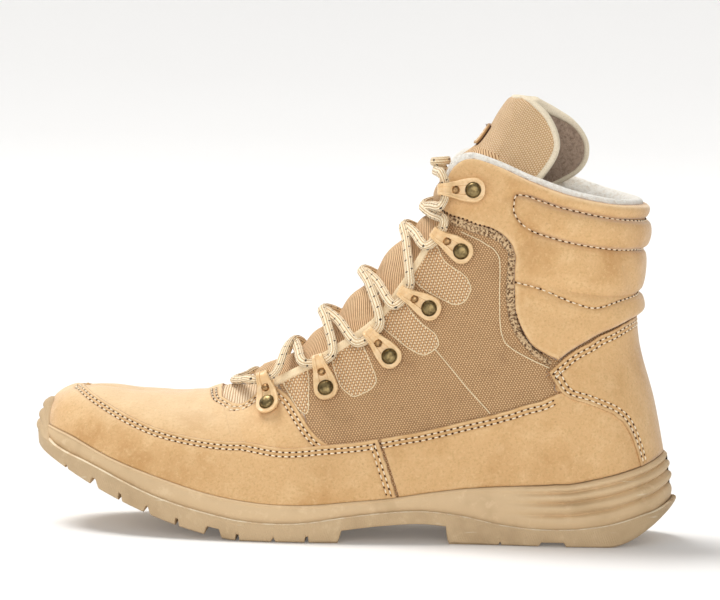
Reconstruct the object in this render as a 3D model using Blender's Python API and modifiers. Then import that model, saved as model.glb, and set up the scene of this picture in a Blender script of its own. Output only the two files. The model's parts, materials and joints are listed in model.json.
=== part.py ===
"""A left hiking boot: leather and textile upper, moulded rubber sole, lace loops and lace.

The toe points to -X and the lateral side to -Y. The boot stands on z = 0, in metres.
The skin function gives the outer leather surface from two coordinates. Sigma runs round the
boot: 0 at the toe, 1 at the heel by the lateral side and -1 at the heel by the medial side.
V runs up a section, from 0 at the feather line to 1 at the ridge, throat edge or collar.
"""

import math

import bmesh
import bpy
import numpy as np
from mathutils import Matrix, Vector

# Driving sizes
LENGTH = 0.302
BALL_WIDTH = 0.111
HEEL_WIDTH = 0.078
TOE_SPRING = 0.036
HEEL_SPRING = 0.0185
STACK = 0.0272
TREAD = 0.008
LUG_HEIGHT = 0.0045
ARCH_PLATE = 0.0045
VAMP_HEIGHT = 0.0685
COLLAR_HEIGHT = 0.1804
TONGUE_RISE = 0.0256

# Walls, gaps and steps
WALL = 0.0022
LEATHER = 0.0015
RAND_STEP = 0.0007
COUNTER_STEP = 0.0008
TAPE = 0.0010
TONGUE_THICKNESS = 0.0045
TONGUE_PLAY = 0.0008
INSOLE_THICKNESS = 0.0040
INSOLE_PLAY = 0.0022
PATCH_THICKNESS = 0.0012
GAP = 0.0003
SEAM = 0.0008
SEAT = 0.0006
RIM_WIDTH = 0.0017
RIM_HEIGHT = 0.0015
BUMPER_GAP = 0.0008
BUMPER_WIDTH = 0.0026
EDGE_CHAMFER = 0.0015

# Lace and its loops
LACE_RADIUS = 0.0020
LOOP_LENGTH = 0.0165
LOOP_WIDTH = 0.0112
LOOP_STRIP = 0.0010
LOOP_TUNNEL = 0.0048
RIVET_RADIUS = 0.0037
RIVET_HEIGHT = 0.0016
KNOT_RADIUS = 0.0052
LACE_END_LENGTH = 0.036

# The textile shell's outer face lies this far under the leather's
SHELL_DEPTH = LEATHER + SEAM
THROAT = 0.41
RAND_END = 0.600
FOXING_START = 0.6035

# Feather line: sigma, x share of LENGTH from the toe, lateral y, medial y (shares of the width
# there), height over the ground line (share of STACK)
FEATHER = (
    (0.000, 0.0166, -0.063, 0.063, 0.50),
    (0.050, 0.0270, 0.063, 0.195, 0.53),
    (0.110, 0.0660, 0.189, 0.322, 0.62),
    (0.180, 0.1290, 0.302, 0.405, 0.64),
    (0.260, 0.2120, 0.387, 0.455, 0.69),
    (0.340, 0.2980, 0.437, 0.473, 0.69),
    (0.410, 0.3740, 0.455, 0.448, 0.625),
    (0.470, 0.4370, 0.458, 0.402, 0.625),
    (0.530, 0.5000, 0.462, 0.376, 0.690),
    (0.590, 0.5600, 0.472, 0.374, 0.755),
    (0.640, 0.6130, 0.481, 0.387, 0.845),
    (0.690, 0.6620, 0.490, 0.412, 0.920),
    (0.740, 0.7090, 0.490, 0.433, 0.967),
    (0.790, 0.7480, 0.485, 0.446, 0.993),
    (0.870, 0.8080, 0.474, 0.455, 1.030),
    (0.925, 0.8600, 0.452, 0.444, 1.100),
    (0.945, 0.9050, 0.415, 0.410, 1.220),
    (0.963, 0.9430, 0.322, 0.318, 1.350),
    (0.982, 0.9690, 0.170, 0.168, 1.480),
    (1.000, 0.9778, 0.000, 0.000, 1.540),
)
# Ridge of the vamp: sigma, x share of LENGTH, y share of BALL_WIDTH, height over the ground
# line (share of VAMP_HEIGHT)
RIDGE = (
    (0.000, 0.0760, 0.072, 0.590),
    (0.050, 0.1000, 0.063, 0.625),
    (0.110, 0.1290, 0.054, 0.675),
    (0.180, 0.1660, 0.050, 0.728),
    (0.260, 0.2090, 0.045, 0.806),
    (0.340, 0.2560, 0.036, 0.895),
    (0.410, 0.3020, 0.027, 0.985),
)
# Throat edge and collar: sigma, x share of LENGTH, lateral y, medial y (shares of HEEL_WIDTH),
# lateral and medial height from the throat's front (0) to the collar's front (1)
TOPLINE = (
    (0.410, 0.3020, -0.038, 0.038, 0.000, 0.000),
    (0.470, 0.3540, 0.220, 0.300, 0.018, 0.018),
    (0.530, 0.4140, 0.282, 0.350, 0.098, 0.098),
    (0.590, 0.4700, 0.308, 0.360, 0.192, 0.192),
    (0.640, 0.5250, 0.321, 0.362, 0.304, 0.304),
    (0.690, 0.5650, 0.333, 0.362, 0.451, 0.451),
    (0.740, 0.5990, 0.340, 0.362, 0.603, 0.603),
    (0.790, 0.6280, 0.346, 0.362, 0.750, 0.750),
    (0.825, 0.6260, 0.353, 0.364, 0.862, 0.862),
    (0.850, 0.6390, 0.365, 0.370, 0.960, 0.965),
    (0.870, 0.6610, 0.385, 0.385, 1.000, 1.005),
    (0.900, 0.7090, 0.430, 0.422, 0.972, 0.995),
    (0.925, 0.7650, 0.460, 0.452, 0.909, 0.945),
    (0.945, 0.8240, 0.470, 0.462, 0.857, 0.900),
    (0.963, 0.8810, 0.405, 0.400, 0.827, 0.855),
    (0.982, 0.9220, 0.235, 0.232, 0.820, 0.830),
    (1.000, 0.9347, 0.000, 0.000, 0.821, 0.821),
)
# Outward bulge of a section: sigma, shares of its chord at BULGE_V, medial share of these
BULGE_V = (0.0, 0.2, 0.45, 0.7, 0.88, 1.0)
BULGE = (
    (0.000, 0.155, 0.240, 0.200, 0.110, 1.00),
    (0.050, 0.160, 0.245, 0.205, 0.115, 1.00),
    (0.110, 0.150, 0.237, 0.200, 0.113, 1.00),
    (0.180, 0.142, 0.223, 0.193, 0.110, 1.00),
    (0.260, 0.132, 0.206, 0.180, 0.100, 1.03),
    (0.340, 0.120, 0.184, 0.156, 0.085, 1.03),
    (0.410, 0.103, 0.160, 0.136, 0.078, 0.98),
    (0.470, 0.090, 0.130, 0.096, 0.045, 0.75),
    (0.530, 0.057, 0.078, 0.060, 0.030, 0.60),
    (0.590, 0.040, 0.045, 0.040, 0.020, 0.70),
    (0.690, 0.016, 0.016, 0.022, 0.016, 1.00),
    (0.790, 0.012, 0.020, 0.035, 0.026, 1.00),
    (0.870, 0.009, 0.010, 0.024, 0.018, 1.00),
    (0.925, 0.005, -0.019, -0.006, 0.000, 1.00),
    (0.945, -0.002, -0.037, -0.024, -0.008, 1.00),
    (0.963, -0.010, -0.050, -0.038, -0.012, 1.00),
    (1.000, -0.020, -0.062, -0.047, -0.015, 1.00),
)
# Sections and rows of the shell
COLUMNS = (
    0.0, 0.02, 0.045, 0.075, 0.11, 0.15, 0.19, 0.235, 0.285, 0.335, 0.385, 0.41, 0.44, 0.47,
    0.505, 0.55, 0.6, 0.65, 0.7, 0.745, 0.785, 0.815, 0.84, 0.862, 0.885, 0.91, 0.935,
    0.953, 0.97, 0.985, 1.0,
)
ROWS = (0.0, 0.1, 0.22, 0.36, 0.46, 0.6, 0.77, 0.94, 1.0)

# Outlines of the overlays, as sigma and v
RAND_TOP = (
    (0.00, 0.900),
    (0.04, 0.820),
    (0.095, 0.630),
    (0.14, 0.530),
    (0.19, 0.460),
    (0.25, 0.397),
    (0.30, 0.383),
    (0.39, 0.380),
    (0.47, 0.403),
    (0.545, 0.386),
    (0.60, 0.363),
)
VAMP_NOTCH = 0.395
VAMP_TOP = (
    (0.395, 0.800),
    (0.411, 0.727),
    (0.424, 0.740),
    (0.436, 0.800),
    (0.450, 0.877),
    (0.466, 0.950),
    (0.482, 0.950),
    (0.491, 0.904),
    (0.501, 0.795),
    (0.511, 0.535),
    (0.530, 0.400),
)
FOXING_TOP = (
    (0.603, 0.363),
    (0.63, 0.345),
    (0.69, 0.303),
    (0.76, 0.276),
    (0.85, 0.247),
    (0.886, 0.255),
    (0.905, 0.270),
)
COUNTER_TOP = (
    (0.908, 0.353),
    (0.926, 0.412),
    (0.944, 0.470),
    (0.958, 0.508),
    (0.974, 0.534),
    (1.000, 0.545),
)
COUNTER_FRONT = (
    (0.908, 0.348),
    (0.916, 0.298),
    (0.926, 0.268),
    (0.944, 0.230),
    (0.953, 0.185),
    (0.958, 0.123),
    (0.962, 0.000),
)
# Rows of the cuff: v at the back, sigma and v on its front edge, height of its padding there
CUFF = (
    (0.551, 0.914, 0.402, 0.0005),
    (0.585, 0.891, 0.435, 0.0044),
    (0.640, 0.881, 0.510, 0.0024),
    (0.700, 0.886, 0.580, 0.0040),
    (0.760, 0.892, 0.650, 0.0042),
    (0.810, 0.897, 0.710, 0.0034),
    (0.870, 0.890, 0.757, 0.0050),
    (0.925, 0.858, 0.792, 0.0028),
    (0.965, 0.828, 0.885, 0.0037),
    (1.000, 0.797, 1.000, 0.0012),
)
CUFF_LEATHER = 0.0010
CUFF_FRONT_SHARES = (0.0, 0.25, 0.5, 0.75)
CUFF_COLUMNS = (0.92, 0.937, 0.953, 0.97, 0.985, 1.0)
CUFF_GAP = 0.0014

# Tongue in the throat: sigma of the throat edge, v of its wing under the quarter, height of its
# ridge over the throat edges (share of BALL_WIDTH), extra depth of its wings (share of its play)
TONGUE_THROAT = (
    (0.392, 0.88, 0.000, 5.0),
    (0.425, 0.87, 0.018, 2.0),
    (0.470, 0.86, 0.045, 0.0),
    (0.530, 0.85, 0.068, 0.0),
    (0.590, 0.84, 0.090, 0.0),
    (0.640, 0.83, 0.117, 0.0),
    (0.690, 0.83, 0.110, 0.0),
    (0.740, 0.83, 0.090, 0.0),
    (0.785, 0.85, 0.068, 0.0),
)
# Tongue over the throat, from the collar's front corner: ridge x, ridge z, lateral wing x and z,
# medial wing x and z (shares of TONGUE_RISE), half width at the wing (share of HEEL_WIDTH)
TONGUE_TOP = (
    (-0.42, -0.58, 0.42, -1.20, 0.60, -1.20, 0.355),
    (-0.14, -0.16, 1.00, -0.75, 1.30, -0.75, 0.345),
    (0.20, 0.12, 1.42, -0.30, 2.05, -0.32, 0.330),
    (0.41, 0.41, 1.62, 0.14, 2.20, 0.10, 0.318),
    (0.58, 0.71, 1.47, 0.60, 1.98, 0.50, 0.300),
    (0.73, 0.93, 1.18, 0.90, 1.62, 0.76, 0.262),
    (0.83, 1.00, 1.00, 1.00, 1.24, 0.96, 0.205),
)
TONGUE_ACROSS = (-1.0, -0.82, -0.64, -0.44, -0.22, 0.0, 0.22, 0.44, 0.64, 0.82, 1.0)
TONGUE_EDGE = 0.62
PATCH_ROWS = (11.15, 12.35)
PATCH_HALF_SHARE = 0.24

# Ground line and rib line of the sole: x share of LENGTH, height of the rib over the ground line
# (share of TREAD)
RIB = (
    (0.000, 0.75),
    (0.045, 0.75),
    (0.080, 0.95),
    (0.200, 1.00),
    (0.300, 1.05),
    (0.380, 0.85),
    (0.430, 0.92),
    (0.490, 1.27),
    (0.550, 1.55),
    (0.610, 1.68),
    (0.670, 1.44),
    (0.730, 0.98),
    (0.790, 0.78),
    (0.850, 0.86),
    (0.905, 1.19),
    (0.943, 1.60),
    (0.976, 1.95),
    (1.000, 2.40),
)
TOE_LIFT_END = 0.33
HEEL_LIFT_START = 0.897
# Flare of the sole beyond the feather line: sigma, share of HEEL_WIDTH
FLARE = (
    (0.00, 0.062),
    (0.10, 0.052),
    (0.25, 0.046),
    (0.41, 0.044),
    (0.60, 0.040),
    (0.80, 0.046),
    (0.92, 0.066),
    (1.00, 0.092),
)
# Lugs: start and end, as shares of LENGTH from the toe
TOE_LUG_END = 0.094
SIDE_LUGS = (
    (0.109, 0.182),
    (0.194, 0.278),
    (0.306, 0.381),
    (0.389, 0.483),
    (0.652, 0.727),
    (0.732, 0.788),
)
HEEL_LUG_START = 0.831
LUG_DRAFT = 0.003
# Toe bumper: its columns, the first ones of the shell, and its rows on the rand
BUMPER_COLUMNS = (0.0, 0.02, 0.045, 0.075, 0.11)
BUMPER_V = (0.22, 0.36)
# Width shares of the bottom, from the centre line outwards: centre lug, groove, side lug
CENTRE_LUG = 0.30
GROOVE_IN = 0.35
GROOVE_OUT = 0.47
SIDE_LUG = 0.52
# Sidewall of the midsole: height share, offset of the heel's ridges
SIDEWALL = (
    (0.00, 0.0000),
    (0.22, 0.0012),
    (0.33, -0.0004),
    (0.43, 0.0010),
    (0.60, 0.0014),
    (0.70, -0.0004),
    (0.80, 0.0009),
    (1.00, 0.0000),
)
SIDEWALL_LIP = 0.0010

# Lace loops: sigma and v of the rivet, sigma and v of the tip, height over the skin
LOOPS = (
    (0.464, 0.801, 0.478, 1.000, 0.0005),
    (0.554, 0.765, 0.560, 0.970, -0.0002),
    (0.647, 0.755, 0.631, 0.944, -0.0002),
    (0.725, 0.780, 0.694, 0.943, -0.0002),
    (0.826, 0.777, 0.772, 0.969, -0.0002),
    (0.868, 0.887, 0.832, 0.976, 0.0024),
)
# Bars of the lace: name, loop, direction along the throat, tongue row, height over its ridge
LACE_BARS = (
    ("lace_bar", 0, -1, 1.25, 0.0040),
    ("lace_tie", 5, 1, 9.85, 0.0042),
)
# Crossings of the lace: sigma of the throat edge, height over the tongue's ridge
CROSSINGS = (
    (0.520, 0.0034),
    (0.592, 0.0060),
    (0.657, 0.0055),
    (0.742, 0.0052),
    (0.783, 0.0050),
)


def spline(rows, at):
    """The rows' columns after the first, smoothly interpolated over the first."""
    rows = np.asarray(rows, float)
    keys, values = rows[:, 0], rows[:, 1:]
    step = np.diff(keys)
    slope = np.diff(values, axis=0) / step[:, None]
    tangent = np.empty_like(values)
    inner = slope[:-1] * step[1:, None] + slope[1:] * step[:-1, None]
    tangent[1:-1] = inner / (step[:-1] + step[1:])[:, None]
    tangent[0], tangent[-1] = slope[0], slope[-1]
    at = np.clip(np.asarray(at, float), keys[0], keys[-1])
    i = np.clip(np.searchsorted(keys, at, side="right") - 1, 0, len(step) - 1)
    return hermite(values[i], values[i + 1], tangent[i], tangent[i + 1], step[i], at - keys[i])


def hermite(start, end, start_slope, end_slope, step, along):
    """A cubic from start to end over one step, for arrays with one value row per point."""
    step = step[..., None]
    t = along[..., None] / step
    return (
        (1 + 2 * t) * (1 - t) ** 2 * start
        + t * (1 - t) ** 2 * step * start_slope
        + t * t * (3 - 2 * t) * end
        + t * t * (t - 1) * step * end_slope
    )


def ease(x, low, high):
    """0 below low, 1 above high, with a smooth step between."""
    t = np.clip((np.asarray(x, float) - low) / (high - low), 0, 1)
    return t * t * (3 - 2 * t)


def unit(vectors):
    return vectors / np.linalg.norm(vectors, axis=-1, keepdims=True)


def toe_lift(x):
    """Height of the ground line that toe spring gives at x."""
    share = x / LENGTH + 0.5
    return TOE_SPRING * np.clip((TOE_LIFT_END - share) / TOE_LIFT_END, 0, 1.1) ** 1.5


def ground(x):
    """Height of the lugs' undersides at x, with toe spring and the bevel of the heel."""
    share = x / LENGTH + 0.5
    bevel = np.clip((share - HEEL_LIFT_START) / (1 - HEEL_LIFT_START), 0, 1.1) ** 1.7
    return toe_lift(x) + HEEL_SPRING * bevel


def rib(x):
    """Height of the rib line between tread and sidewall at x."""
    return toe_lift(x) + TREAD * spline(RIB, x / LENGTH + 0.5)[..., 0]


def section_width(s):
    """The width that the feather line's shares refer to: ball width in front, heel width behind."""
    return BALL_WIDTH + (HEEL_WIDTH - BALL_WIDTH) * ease(s, THROAT, 0.74)


def feather_rows():
    """Sigma, x, y, z and four bulges round the whole boot, with a stretch repeated at each end."""
    table = np.array(FEATHER)
    s = table[:, 0]
    x = (table[:, 1] - 0.5) * LENGTH
    z = toe_lift(x) + table[:, 4] * STACK
    bulge = spline(BULGE, s)
    lateral = np.column_stack([s, x, -table[:, 2] * section_width(s), z, bulge[:, :4]])
    medial = np.column_stack([-s, x, table[:, 3] * section_width(s), z, bulge[:, :4] * bulge[:, 4:]])
    loop = np.vstack([medial[::-1][:-1], lateral])
    before, after = loop[-5:-1].copy(), loop[1:5].copy()
    before[:, 0] -= 2
    after[:, 0] += 2
    return np.vstack([before, loop, after])


def top_rows():
    """Sigma, x, y, z of the ridge, and of the throat edge and collar on each side."""
    ridge = np.array(RIDGE)
    x = (ridge[:, 1] - 0.5) * LENGTH
    height = toe_lift(x) + ridge[:, 3] * VAMP_HEIGHT
    ridge = np.column_stack([ridge[:, 0], x, ridge[:, 2] * BALL_WIDTH, height])
    table = np.array(TOPLINE)
    x = (table[:, 1] - 0.5) * LENGTH
    start = ridge[-1, 3]
    rise = COLLAR_HEIGHT - start
    lateral = np.column_stack([table[:, 0], x, -table[:, 2] * HEEL_WIDTH, start + table[:, 4] * rise])
    medial = np.column_stack([table[:, 0], x, table[:, 3] * HEEL_WIDTH, start + table[:, 5] * rise])
    lateral[0, 2] = medial[0, 2] = ridge[-1, 2]
    past_heel = [side[-5:-1][::-1].copy() for side in (lateral, medial)]
    for side in past_heel:
        side[:, 0] = 2 - side[:, 0]
    return ridge, np.vstack([lateral, past_heel[1]]), np.vstack([medial, past_heel[0]])


FEATHER_ROWS = feather_rows()
RIDGE_ROWS, LATERAL_TOP, MEDIAL_TOP = top_rows()


def wrapped(sigma):
    """Sigma brought to the stretch from -1 to 1: past the heel it goes on on the other side."""
    sigma = np.asarray(sigma, float)
    return np.where(sigma > 1, sigma - 2, np.where(sigma < -1, sigma + 2, sigma))


def top_point(sigma):
    """The upper end of the section at sigma."""
    sigma = wrapped(sigma)
    s = np.abs(sigma)
    behind = np.maximum(s, THROAT)
    edge = np.where((sigma > 0)[..., None], spline(LATERAL_TOP, behind), spline(MEDIAL_TOP, behind))
    return np.where((s < THROAT)[..., None], spline(RIDGE_ROWS, np.minimum(s, THROAT)), edge)


def outward(sigma):
    """The horizontal direction out of the feather line at sigma."""
    sigma = wrapped(sigma)
    step = 1e-3
    along = spline(FEATHER_ROWS, sigma + step)[..., :2] - spline(FEATHER_ROWS, sigma - step)[..., :2]
    return unit(np.stack([along[..., 1], -along[..., 0], 0 * along[..., 0]], -1))


def bulge_at(bulges, v):
    """The bulge at v of sections that have these bulges at BULGE_V."""
    keys = np.array(BULGE_V)
    step = np.diff(keys)
    ends = np.zeros(bulges.shape[:-1] + (1,))
    values = np.concatenate([ends, bulges, ends], -1)
    slope = np.diff(values, axis=-1) / step
    tangent = np.empty_like(values)
    inner = slope[..., :-1] * step[1:] + slope[..., 1:] * step[:-1]
    tangent[..., 1:-1] = inner / (step[:-1] + step[1:])
    tangent[..., 0] = 1.5 * slope[..., 0] - 0.5 * tangent[..., 1]
    tangent[..., -1] = 1.5 * slope[..., -1] - 0.5 * tangent[..., -2]
    i = np.clip(np.searchsorted(keys, v, side="right") - 1, 0, len(step) - 1)

    def pick(table, index):
        return np.take_along_axis(table, index[..., None], -1)

    curve = hermite(
        pick(values, i), pick(values, i + 1), pick(tangent, i), pick(tangent, i + 1), step[i], v - keys[i]
    )
    return curve[..., 0]


def skin(sigma, v):
    """Points of the outer leather surface."""
    sigma, v = np.broadcast_arrays(wrapped(sigma), np.asarray(v, float))
    row = spline(FEATHER_ROWS, sigma)
    foot = row[..., :3]
    chord = top_point(sigma) - foot
    size = np.linalg.norm(chord, axis=-1, keepdims=True)
    direction = chord / size
    flat = outward(sigma)
    out = unit(flat - (flat * direction).sum(-1, keepdims=True) * direction)
    return foot + chord * v[..., None] + out * size * bulge_at(row[..., 3:7], v)[..., None]


def skin_normal(sigma, v):
    """Outward normals of the skin. Over the vamp's ridge the two sides share one."""
    sigma, v = np.broadcast_arrays(np.asarray(sigma, float), np.asarray(v, float))
    step = 2e-3
    low, high = np.clip(v - step, 0, 1), np.clip(v + step, 0, 1)

    def one_side(at):
        along = skin(at + step, v) - skin(at - step, v)
        return unit(np.cross(along, skin(at, high) - skin(at, low)))

    shared = (np.abs(sigma) <= THROAT + 1e-6) & (v > 1 - 1e-6)
    aside = np.where(shared & (np.abs(sigma) < 2 * step), 2 * step, sigma)
    normal = one_side(aside)
    return np.where(shared[..., None], unit(normal + one_side(-aside)), normal)


def raised(sigma, v, height):
    """Points at this height over the skin."""
    return skin(sigma, v) + skin_normal(sigma, v) * np.asarray(height)[..., None]


def foot_v(sigma, depth):
    """The v at which a sheet that reaches this deep under the skin clears the feather's height."""
    down = depth * skin_normal(sigma, 0.0)[..., 2]
    height = top_point(sigma)[..., 2] - spline(FEATHER_ROWS, wrapped(sigma))[..., 2]
    return np.clip(down / height, 0.0, 0.08)


def limit(table, s):
    """The v that an outline's table gives at s, on straight runs between its rows."""
    table = np.array(table)
    return np.interp(s, table[:, 0], table[:, 1])


# Making objects


def clear_scene():
    for obj in list(bpy.data.objects):
        bpy.data.objects.remove(obj, do_unlink=True)


def material(name, colour, roughness, metallic=0.0):
    made = bpy.data.materials.new(name)
    made.use_nodes = True
    shader = made.node_tree.nodes["Principled BSDF"]
    shader.inputs["Base Color"].default_value = (*colour, 1.0)
    shader.inputs["Roughness"].default_value = roughness
    shader.inputs["Metallic"].default_value = metallic
    return made


def add_object(name, mesh, surface, collection):
    obj = bpy.data.objects.new(name, mesh)
    if not mesh.materials:
        mesh.materials.append(surface)
    collection.objects.link(obj)
    return obj


def grid_faces(rows, columns, first=0):
    """Quads of a grid whose points are numbered row by row, with the first index given."""
    return [
        (
            first + i * columns + j,
            first + (i + 1) * columns + j,
            first + (i + 1) * columns + j + 1,
            first + i * columns + j + 1,
        )
        for i in range(rows - 1)
        for j in range(columns - 1)
    ]


def mesh_of(name, points, faces, recalculate=False):
    """A mesh with its double points welded, shaded smooth with sharp edges kept."""
    mesh = bpy.data.meshes.new(name)
    mesh.from_pydata([tuple(point) for point in points], [], faces)
    build = bmesh.new()
    build.from_mesh(mesh)
    bmesh.ops.remove_doubles(build, verts=build.verts, dist=1e-5)
    bmesh.ops.dissolve_degenerate(build, edges=build.edges, dist=1e-6)
    if recalculate:
        bmesh.ops.recalc_face_normals(build, faces=build.faces)
    bmesh.ops.triangulate(build, faces=build.faces)
    build.to_mesh(mesh)
    build.free()
    mesh.shade_smooth()
    mesh.set_sharp_from_angle(angle=math.radians(40))
    return mesh


def sheet(name, points, thickness, surface, collection):
    """A sheet over a grid of points, thickened inwards."""
    rows, columns = points.shape[:2]
    mesh = mesh_of(name, points.reshape(-1, 3), grid_faces(rows, columns))
    obj = add_object(name, mesh, surface, collection)
    wall = obj.modifiers.new("Wall", "SOLIDIFY")
    wall.thickness = thickness
    wall.offset = -1.0
    return obj


def loft(name, rings, surface, collection):
    """A closed solid through rings of points that are each closed; the end rings may be a line."""
    rings = np.asarray(rings)
    count, size = rings.shape[:2]
    closed = np.concatenate([rings, rings[:, :1]], axis=1)
    faces = grid_faces(count, size + 1)
    for ring in (0, count - 1):
        faces.append(tuple(ring * (size + 1) + j for j in range(size)))
    mesh = mesh_of(name, closed.reshape(-1, 3), faces, recalculate=True)
    return add_object(name, mesh, surface, collection)


def columns_between(start, end, extra=()):
    """The shell's sections between two sigmas, with both ends and any extra ones."""
    inner = [s for s in COLUMNS if start + 1e-4 < s < end - 1e-4]
    return np.array(sorted({start, end, *inner, *extra}))


def overlay(name, sigma, low, high, top, thickness, surface, collection):
    """An overlay between two outlines, whose rows are the shell's own where they lie inside."""
    v = np.clip(np.array(ROWS)[None, :], np.asarray(low)[:, None], np.asarray(high)[:, None])
    grid = raised(sigma[:, None], v, np.full(v.shape, top))
    return sheet(name, grid, thickness, surface, collection)


# Upper


def build_upper(surface, collection):
    """The textile shell on the last: open at collar and throat, and underneath."""
    sigma = np.array([-s for s in COLUMNS[:0:-1]] + list(COLUMNS))
    v = np.maximum(np.array(ROWS)[None, :], foot_v(sigma, SHELL_DEPTH + WALL)[:, None])
    points = raised(sigma[:, None], v, np.full(v.shape, -SHELL_DEPTH))
    return sheet("upper", points, WALL, surface, collection)


def build_rand(surface, collection):
    """The leather mudguard around the toe."""
    side = columns_between(0.0, RAND_END)
    sigma = np.concatenate([-side[:0:-1], side])
    high = limit(RAND_TOP, np.abs(sigma))
    thickness = LEATHER + RAND_STEP
    low = foot_v(sigma, LEATHER)
    overlay("rand", sigma, low, high, RAND_STEP, thickness, surface, collection)


def build_vamp(surface, collection):
    """The vamp, from the rand to its notch at the throat and the wings under the first loops."""
    split = VAMP_NOTCH + 1e-4
    side = columns_between(0.0, VAMP_TOP[-1][0], [VAMP_NOTCH, *(row[0] for row in VAMP_TOP[1:])])
    side = np.sort(np.append(side, split))
    sigma = np.concatenate([-side[:0:-1], side])
    s = np.abs(sigma)
    low = limit(RAND_TOP, s) + 3 * GAP / (0.5 * BALL_WIDTH)
    high = np.where(s < split - 1e-6, 1.0, limit(VAMP_TOP, s))
    overlay("vamp", sigma, low, np.maximum(high, low), 0.0, LEATHER, surface, collection)


def build_foxings(surface, collection):
    """The lower leather quarter on each side, between rand and counter."""
    step = GAP / (0.5 * HEEL_WIDTH)
    end = COUNTER_FRONT[-1][0] - 0.002
    side = columns_between(FOXING_START, end, [row[0] for row in COUNTER_FRONT[1:-1]])
    counter = np.array(COUNTER_FRONT)
    under_counter = np.interp(side + 0.002, counter[1:, 0], counter[1:, 1]) - step
    high = np.where(side < counter[1, 0] - 0.002, limit(FOXING_TOP, side), under_counter)
    high = np.minimum(high, limit(FOXING_TOP, side))
    for name, sign in (("foxing_lateral", 1), ("foxing_medial", -1)):
        sigma = sign * side[::sign]
        low = foot_v(sigma, LEATHER)
        overlay(name, sigma, low, np.maximum(high[::sign], low + 0.01), 0.0, LEATHER, surface, collection)


def build_counter(surface, collection):
    """The leather patch around the heel."""
    start = COUNTER_TOP[0][0]
    extra = [row[0] for row in COUNTER_FRONT[1:]] + [row[0] for row in COUNTER_TOP[1:-1]]
    side = columns_between(start, 1.0, extra)
    sigma = np.concatenate([side, 2 - side[-2::-1]])
    s = 1 - np.abs(sigma - 1)
    low = np.where(s < COUNTER_FRONT[-1][0], limit(COUNTER_FRONT, s), foot_v(sigma, LEATHER))
    high = limit(COUNTER_TOP, s)
    thickness = LEATHER + COUNTER_STEP
    overlay("heel_counter", sigma, low, high, COUNTER_STEP, thickness, surface, collection)


def cuff_grid():
    """Sigma, v and padding of the cuff, from the lateral front edge round the back."""
    table = np.array(CUFF)
    bottom, stitch = table[0, 0], table[2, 0]
    lowest = limit(COUNTER_TOP, np.array(CUFF_COLUMNS)) + bottom - COUNTER_TOP[-1][1]
    half = []
    for column, low in zip(CUFF_COLUMNS, lowest):
        squeeze = (stitch - low) / (stitch - bottom)
        v = np.where(table[:, 0] < stitch, stitch - (stitch - table[:, 0]) * squeeze, table[:, 0])
        half.append(np.column_stack([np.full(len(v), column), v, table[:, 3]]))
    first = half[0]
    front = np.column_stack([table[:, 1], table[:, 2], table[:, 3]])
    half = [front + (first - front) * share for share in CUFF_FRONT_SHARES] + half
    half = np.array(half)
    fade = ease(half[..., 0], 0.87, 0.935)
    edge = half[..., 2] < CUFF_LEATHER
    half[..., 2] = np.where(edge, half[..., 2], CUFF_LEATHER + (half[..., 2] - CUFF_LEATHER) * fade)
    other = half[-2::-1].copy()
    other[..., 0] = 2 - other[..., 0]
    return np.concatenate([half, other])


def build_cuff(surface, collection):
    """The padded collar: two surfaces, the outer one raised by its padding."""
    grid = cuff_grid()
    outer = raised(grid[..., 0], grid[..., 1], grid[..., 2])
    inner = raised(grid[..., 0], grid[..., 1], np.full(grid.shape[:2], CUFF_GAP - SHELL_DEPTH))
    rings = np.concatenate([outer, inner[:, ::-1]], axis=1)
    loft("collar_cuff", rings, surface, collection)


def build_tapes(surface, collection):
    """The binding along each throat edge, between vamp and cuff."""
    side = columns_between(0.505, 0.785)
    for name, sign in (("throat_tape_lateral", 1), ("throat_tape_medial", -1)):
        sigma = sign * side[::sign]
        low = np.full(len(sigma), ROWS[-2])
        high = np.ones(len(sigma))
        overlay(name, sigma, low, high, TAPE + GAP - SHELL_DEPTH, TAPE, surface, collection)


# Tongue


def tongue_sections():
    """Five points of each tongue section: lateral wing and edge, ridge, medial edge and wing."""
    sections = []
    for s, wing, crown, extra in TONGUE_THROAT:
        under = np.full(2, -(SHELL_DEPTH + WALL + (1 + extra) * TONGUE_PLAY))
        sides = [raised(np.array(sign * s), np.array([wing, 1.0]), under) for sign in (1, -1)]
        middle = (sides[0][1] + sides[1][1]) / 2
        ahead = top_point(np.array(s + 0.01)) - top_point(np.array(s - 0.01))
        up = unit(np.array([-ahead[2], 0.0, ahead[0]]))
        ridge = middle + up * crown * BALL_WIDTH
        sections.append([sides[0][0], sides[0][1], ridge, sides[1][1], sides[1][0]])
    corner = (top_point(np.array(0.87)) + top_point(np.array(-0.87))) / 2
    for ridge_x, ridge_z, wing_x, wing_z, far_x, far_z, half in TONGUE_TOP:
        ridge = corner + np.array([ridge_x, 0, ridge_z]) * TONGUE_RISE
        wings = [
            corner + np.array([x * TONGUE_RISE, sign * half * HEEL_WIDTH, z * TONGUE_RISE])
            for x, z, sign in ((wing_x, wing_z, -1), (far_x, far_z, 1))
        ]
        edges = [ridge + (wing - ridge) * np.array([0.30, 0.86, 0.30]) for wing in wings]
        sections.append([wings[0], edges[0], ridge, edges[1], wings[1]])
    return np.array(sections)


TONGUE_SECTIONS = tongue_sections()


def tongue(row, across):
    """A point of the tongue's outer face: row is a section's number, across goes from -1 to 1."""
    keys = np.arange(len(TONGUE_SECTIONS))[:, None]
    flat = np.column_stack([keys, TONGUE_SECTIONS.reshape(len(keys), -1)])
    five = spline(flat, np.asarray(row, float)).reshape(5, 3)
    places = np.array([[-1.0], [-TONGUE_EDGE], [0.0], [TONGUE_EDGE], [1.0]])
    return spline(np.column_stack([places, five]), np.asarray(across, float))


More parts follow.
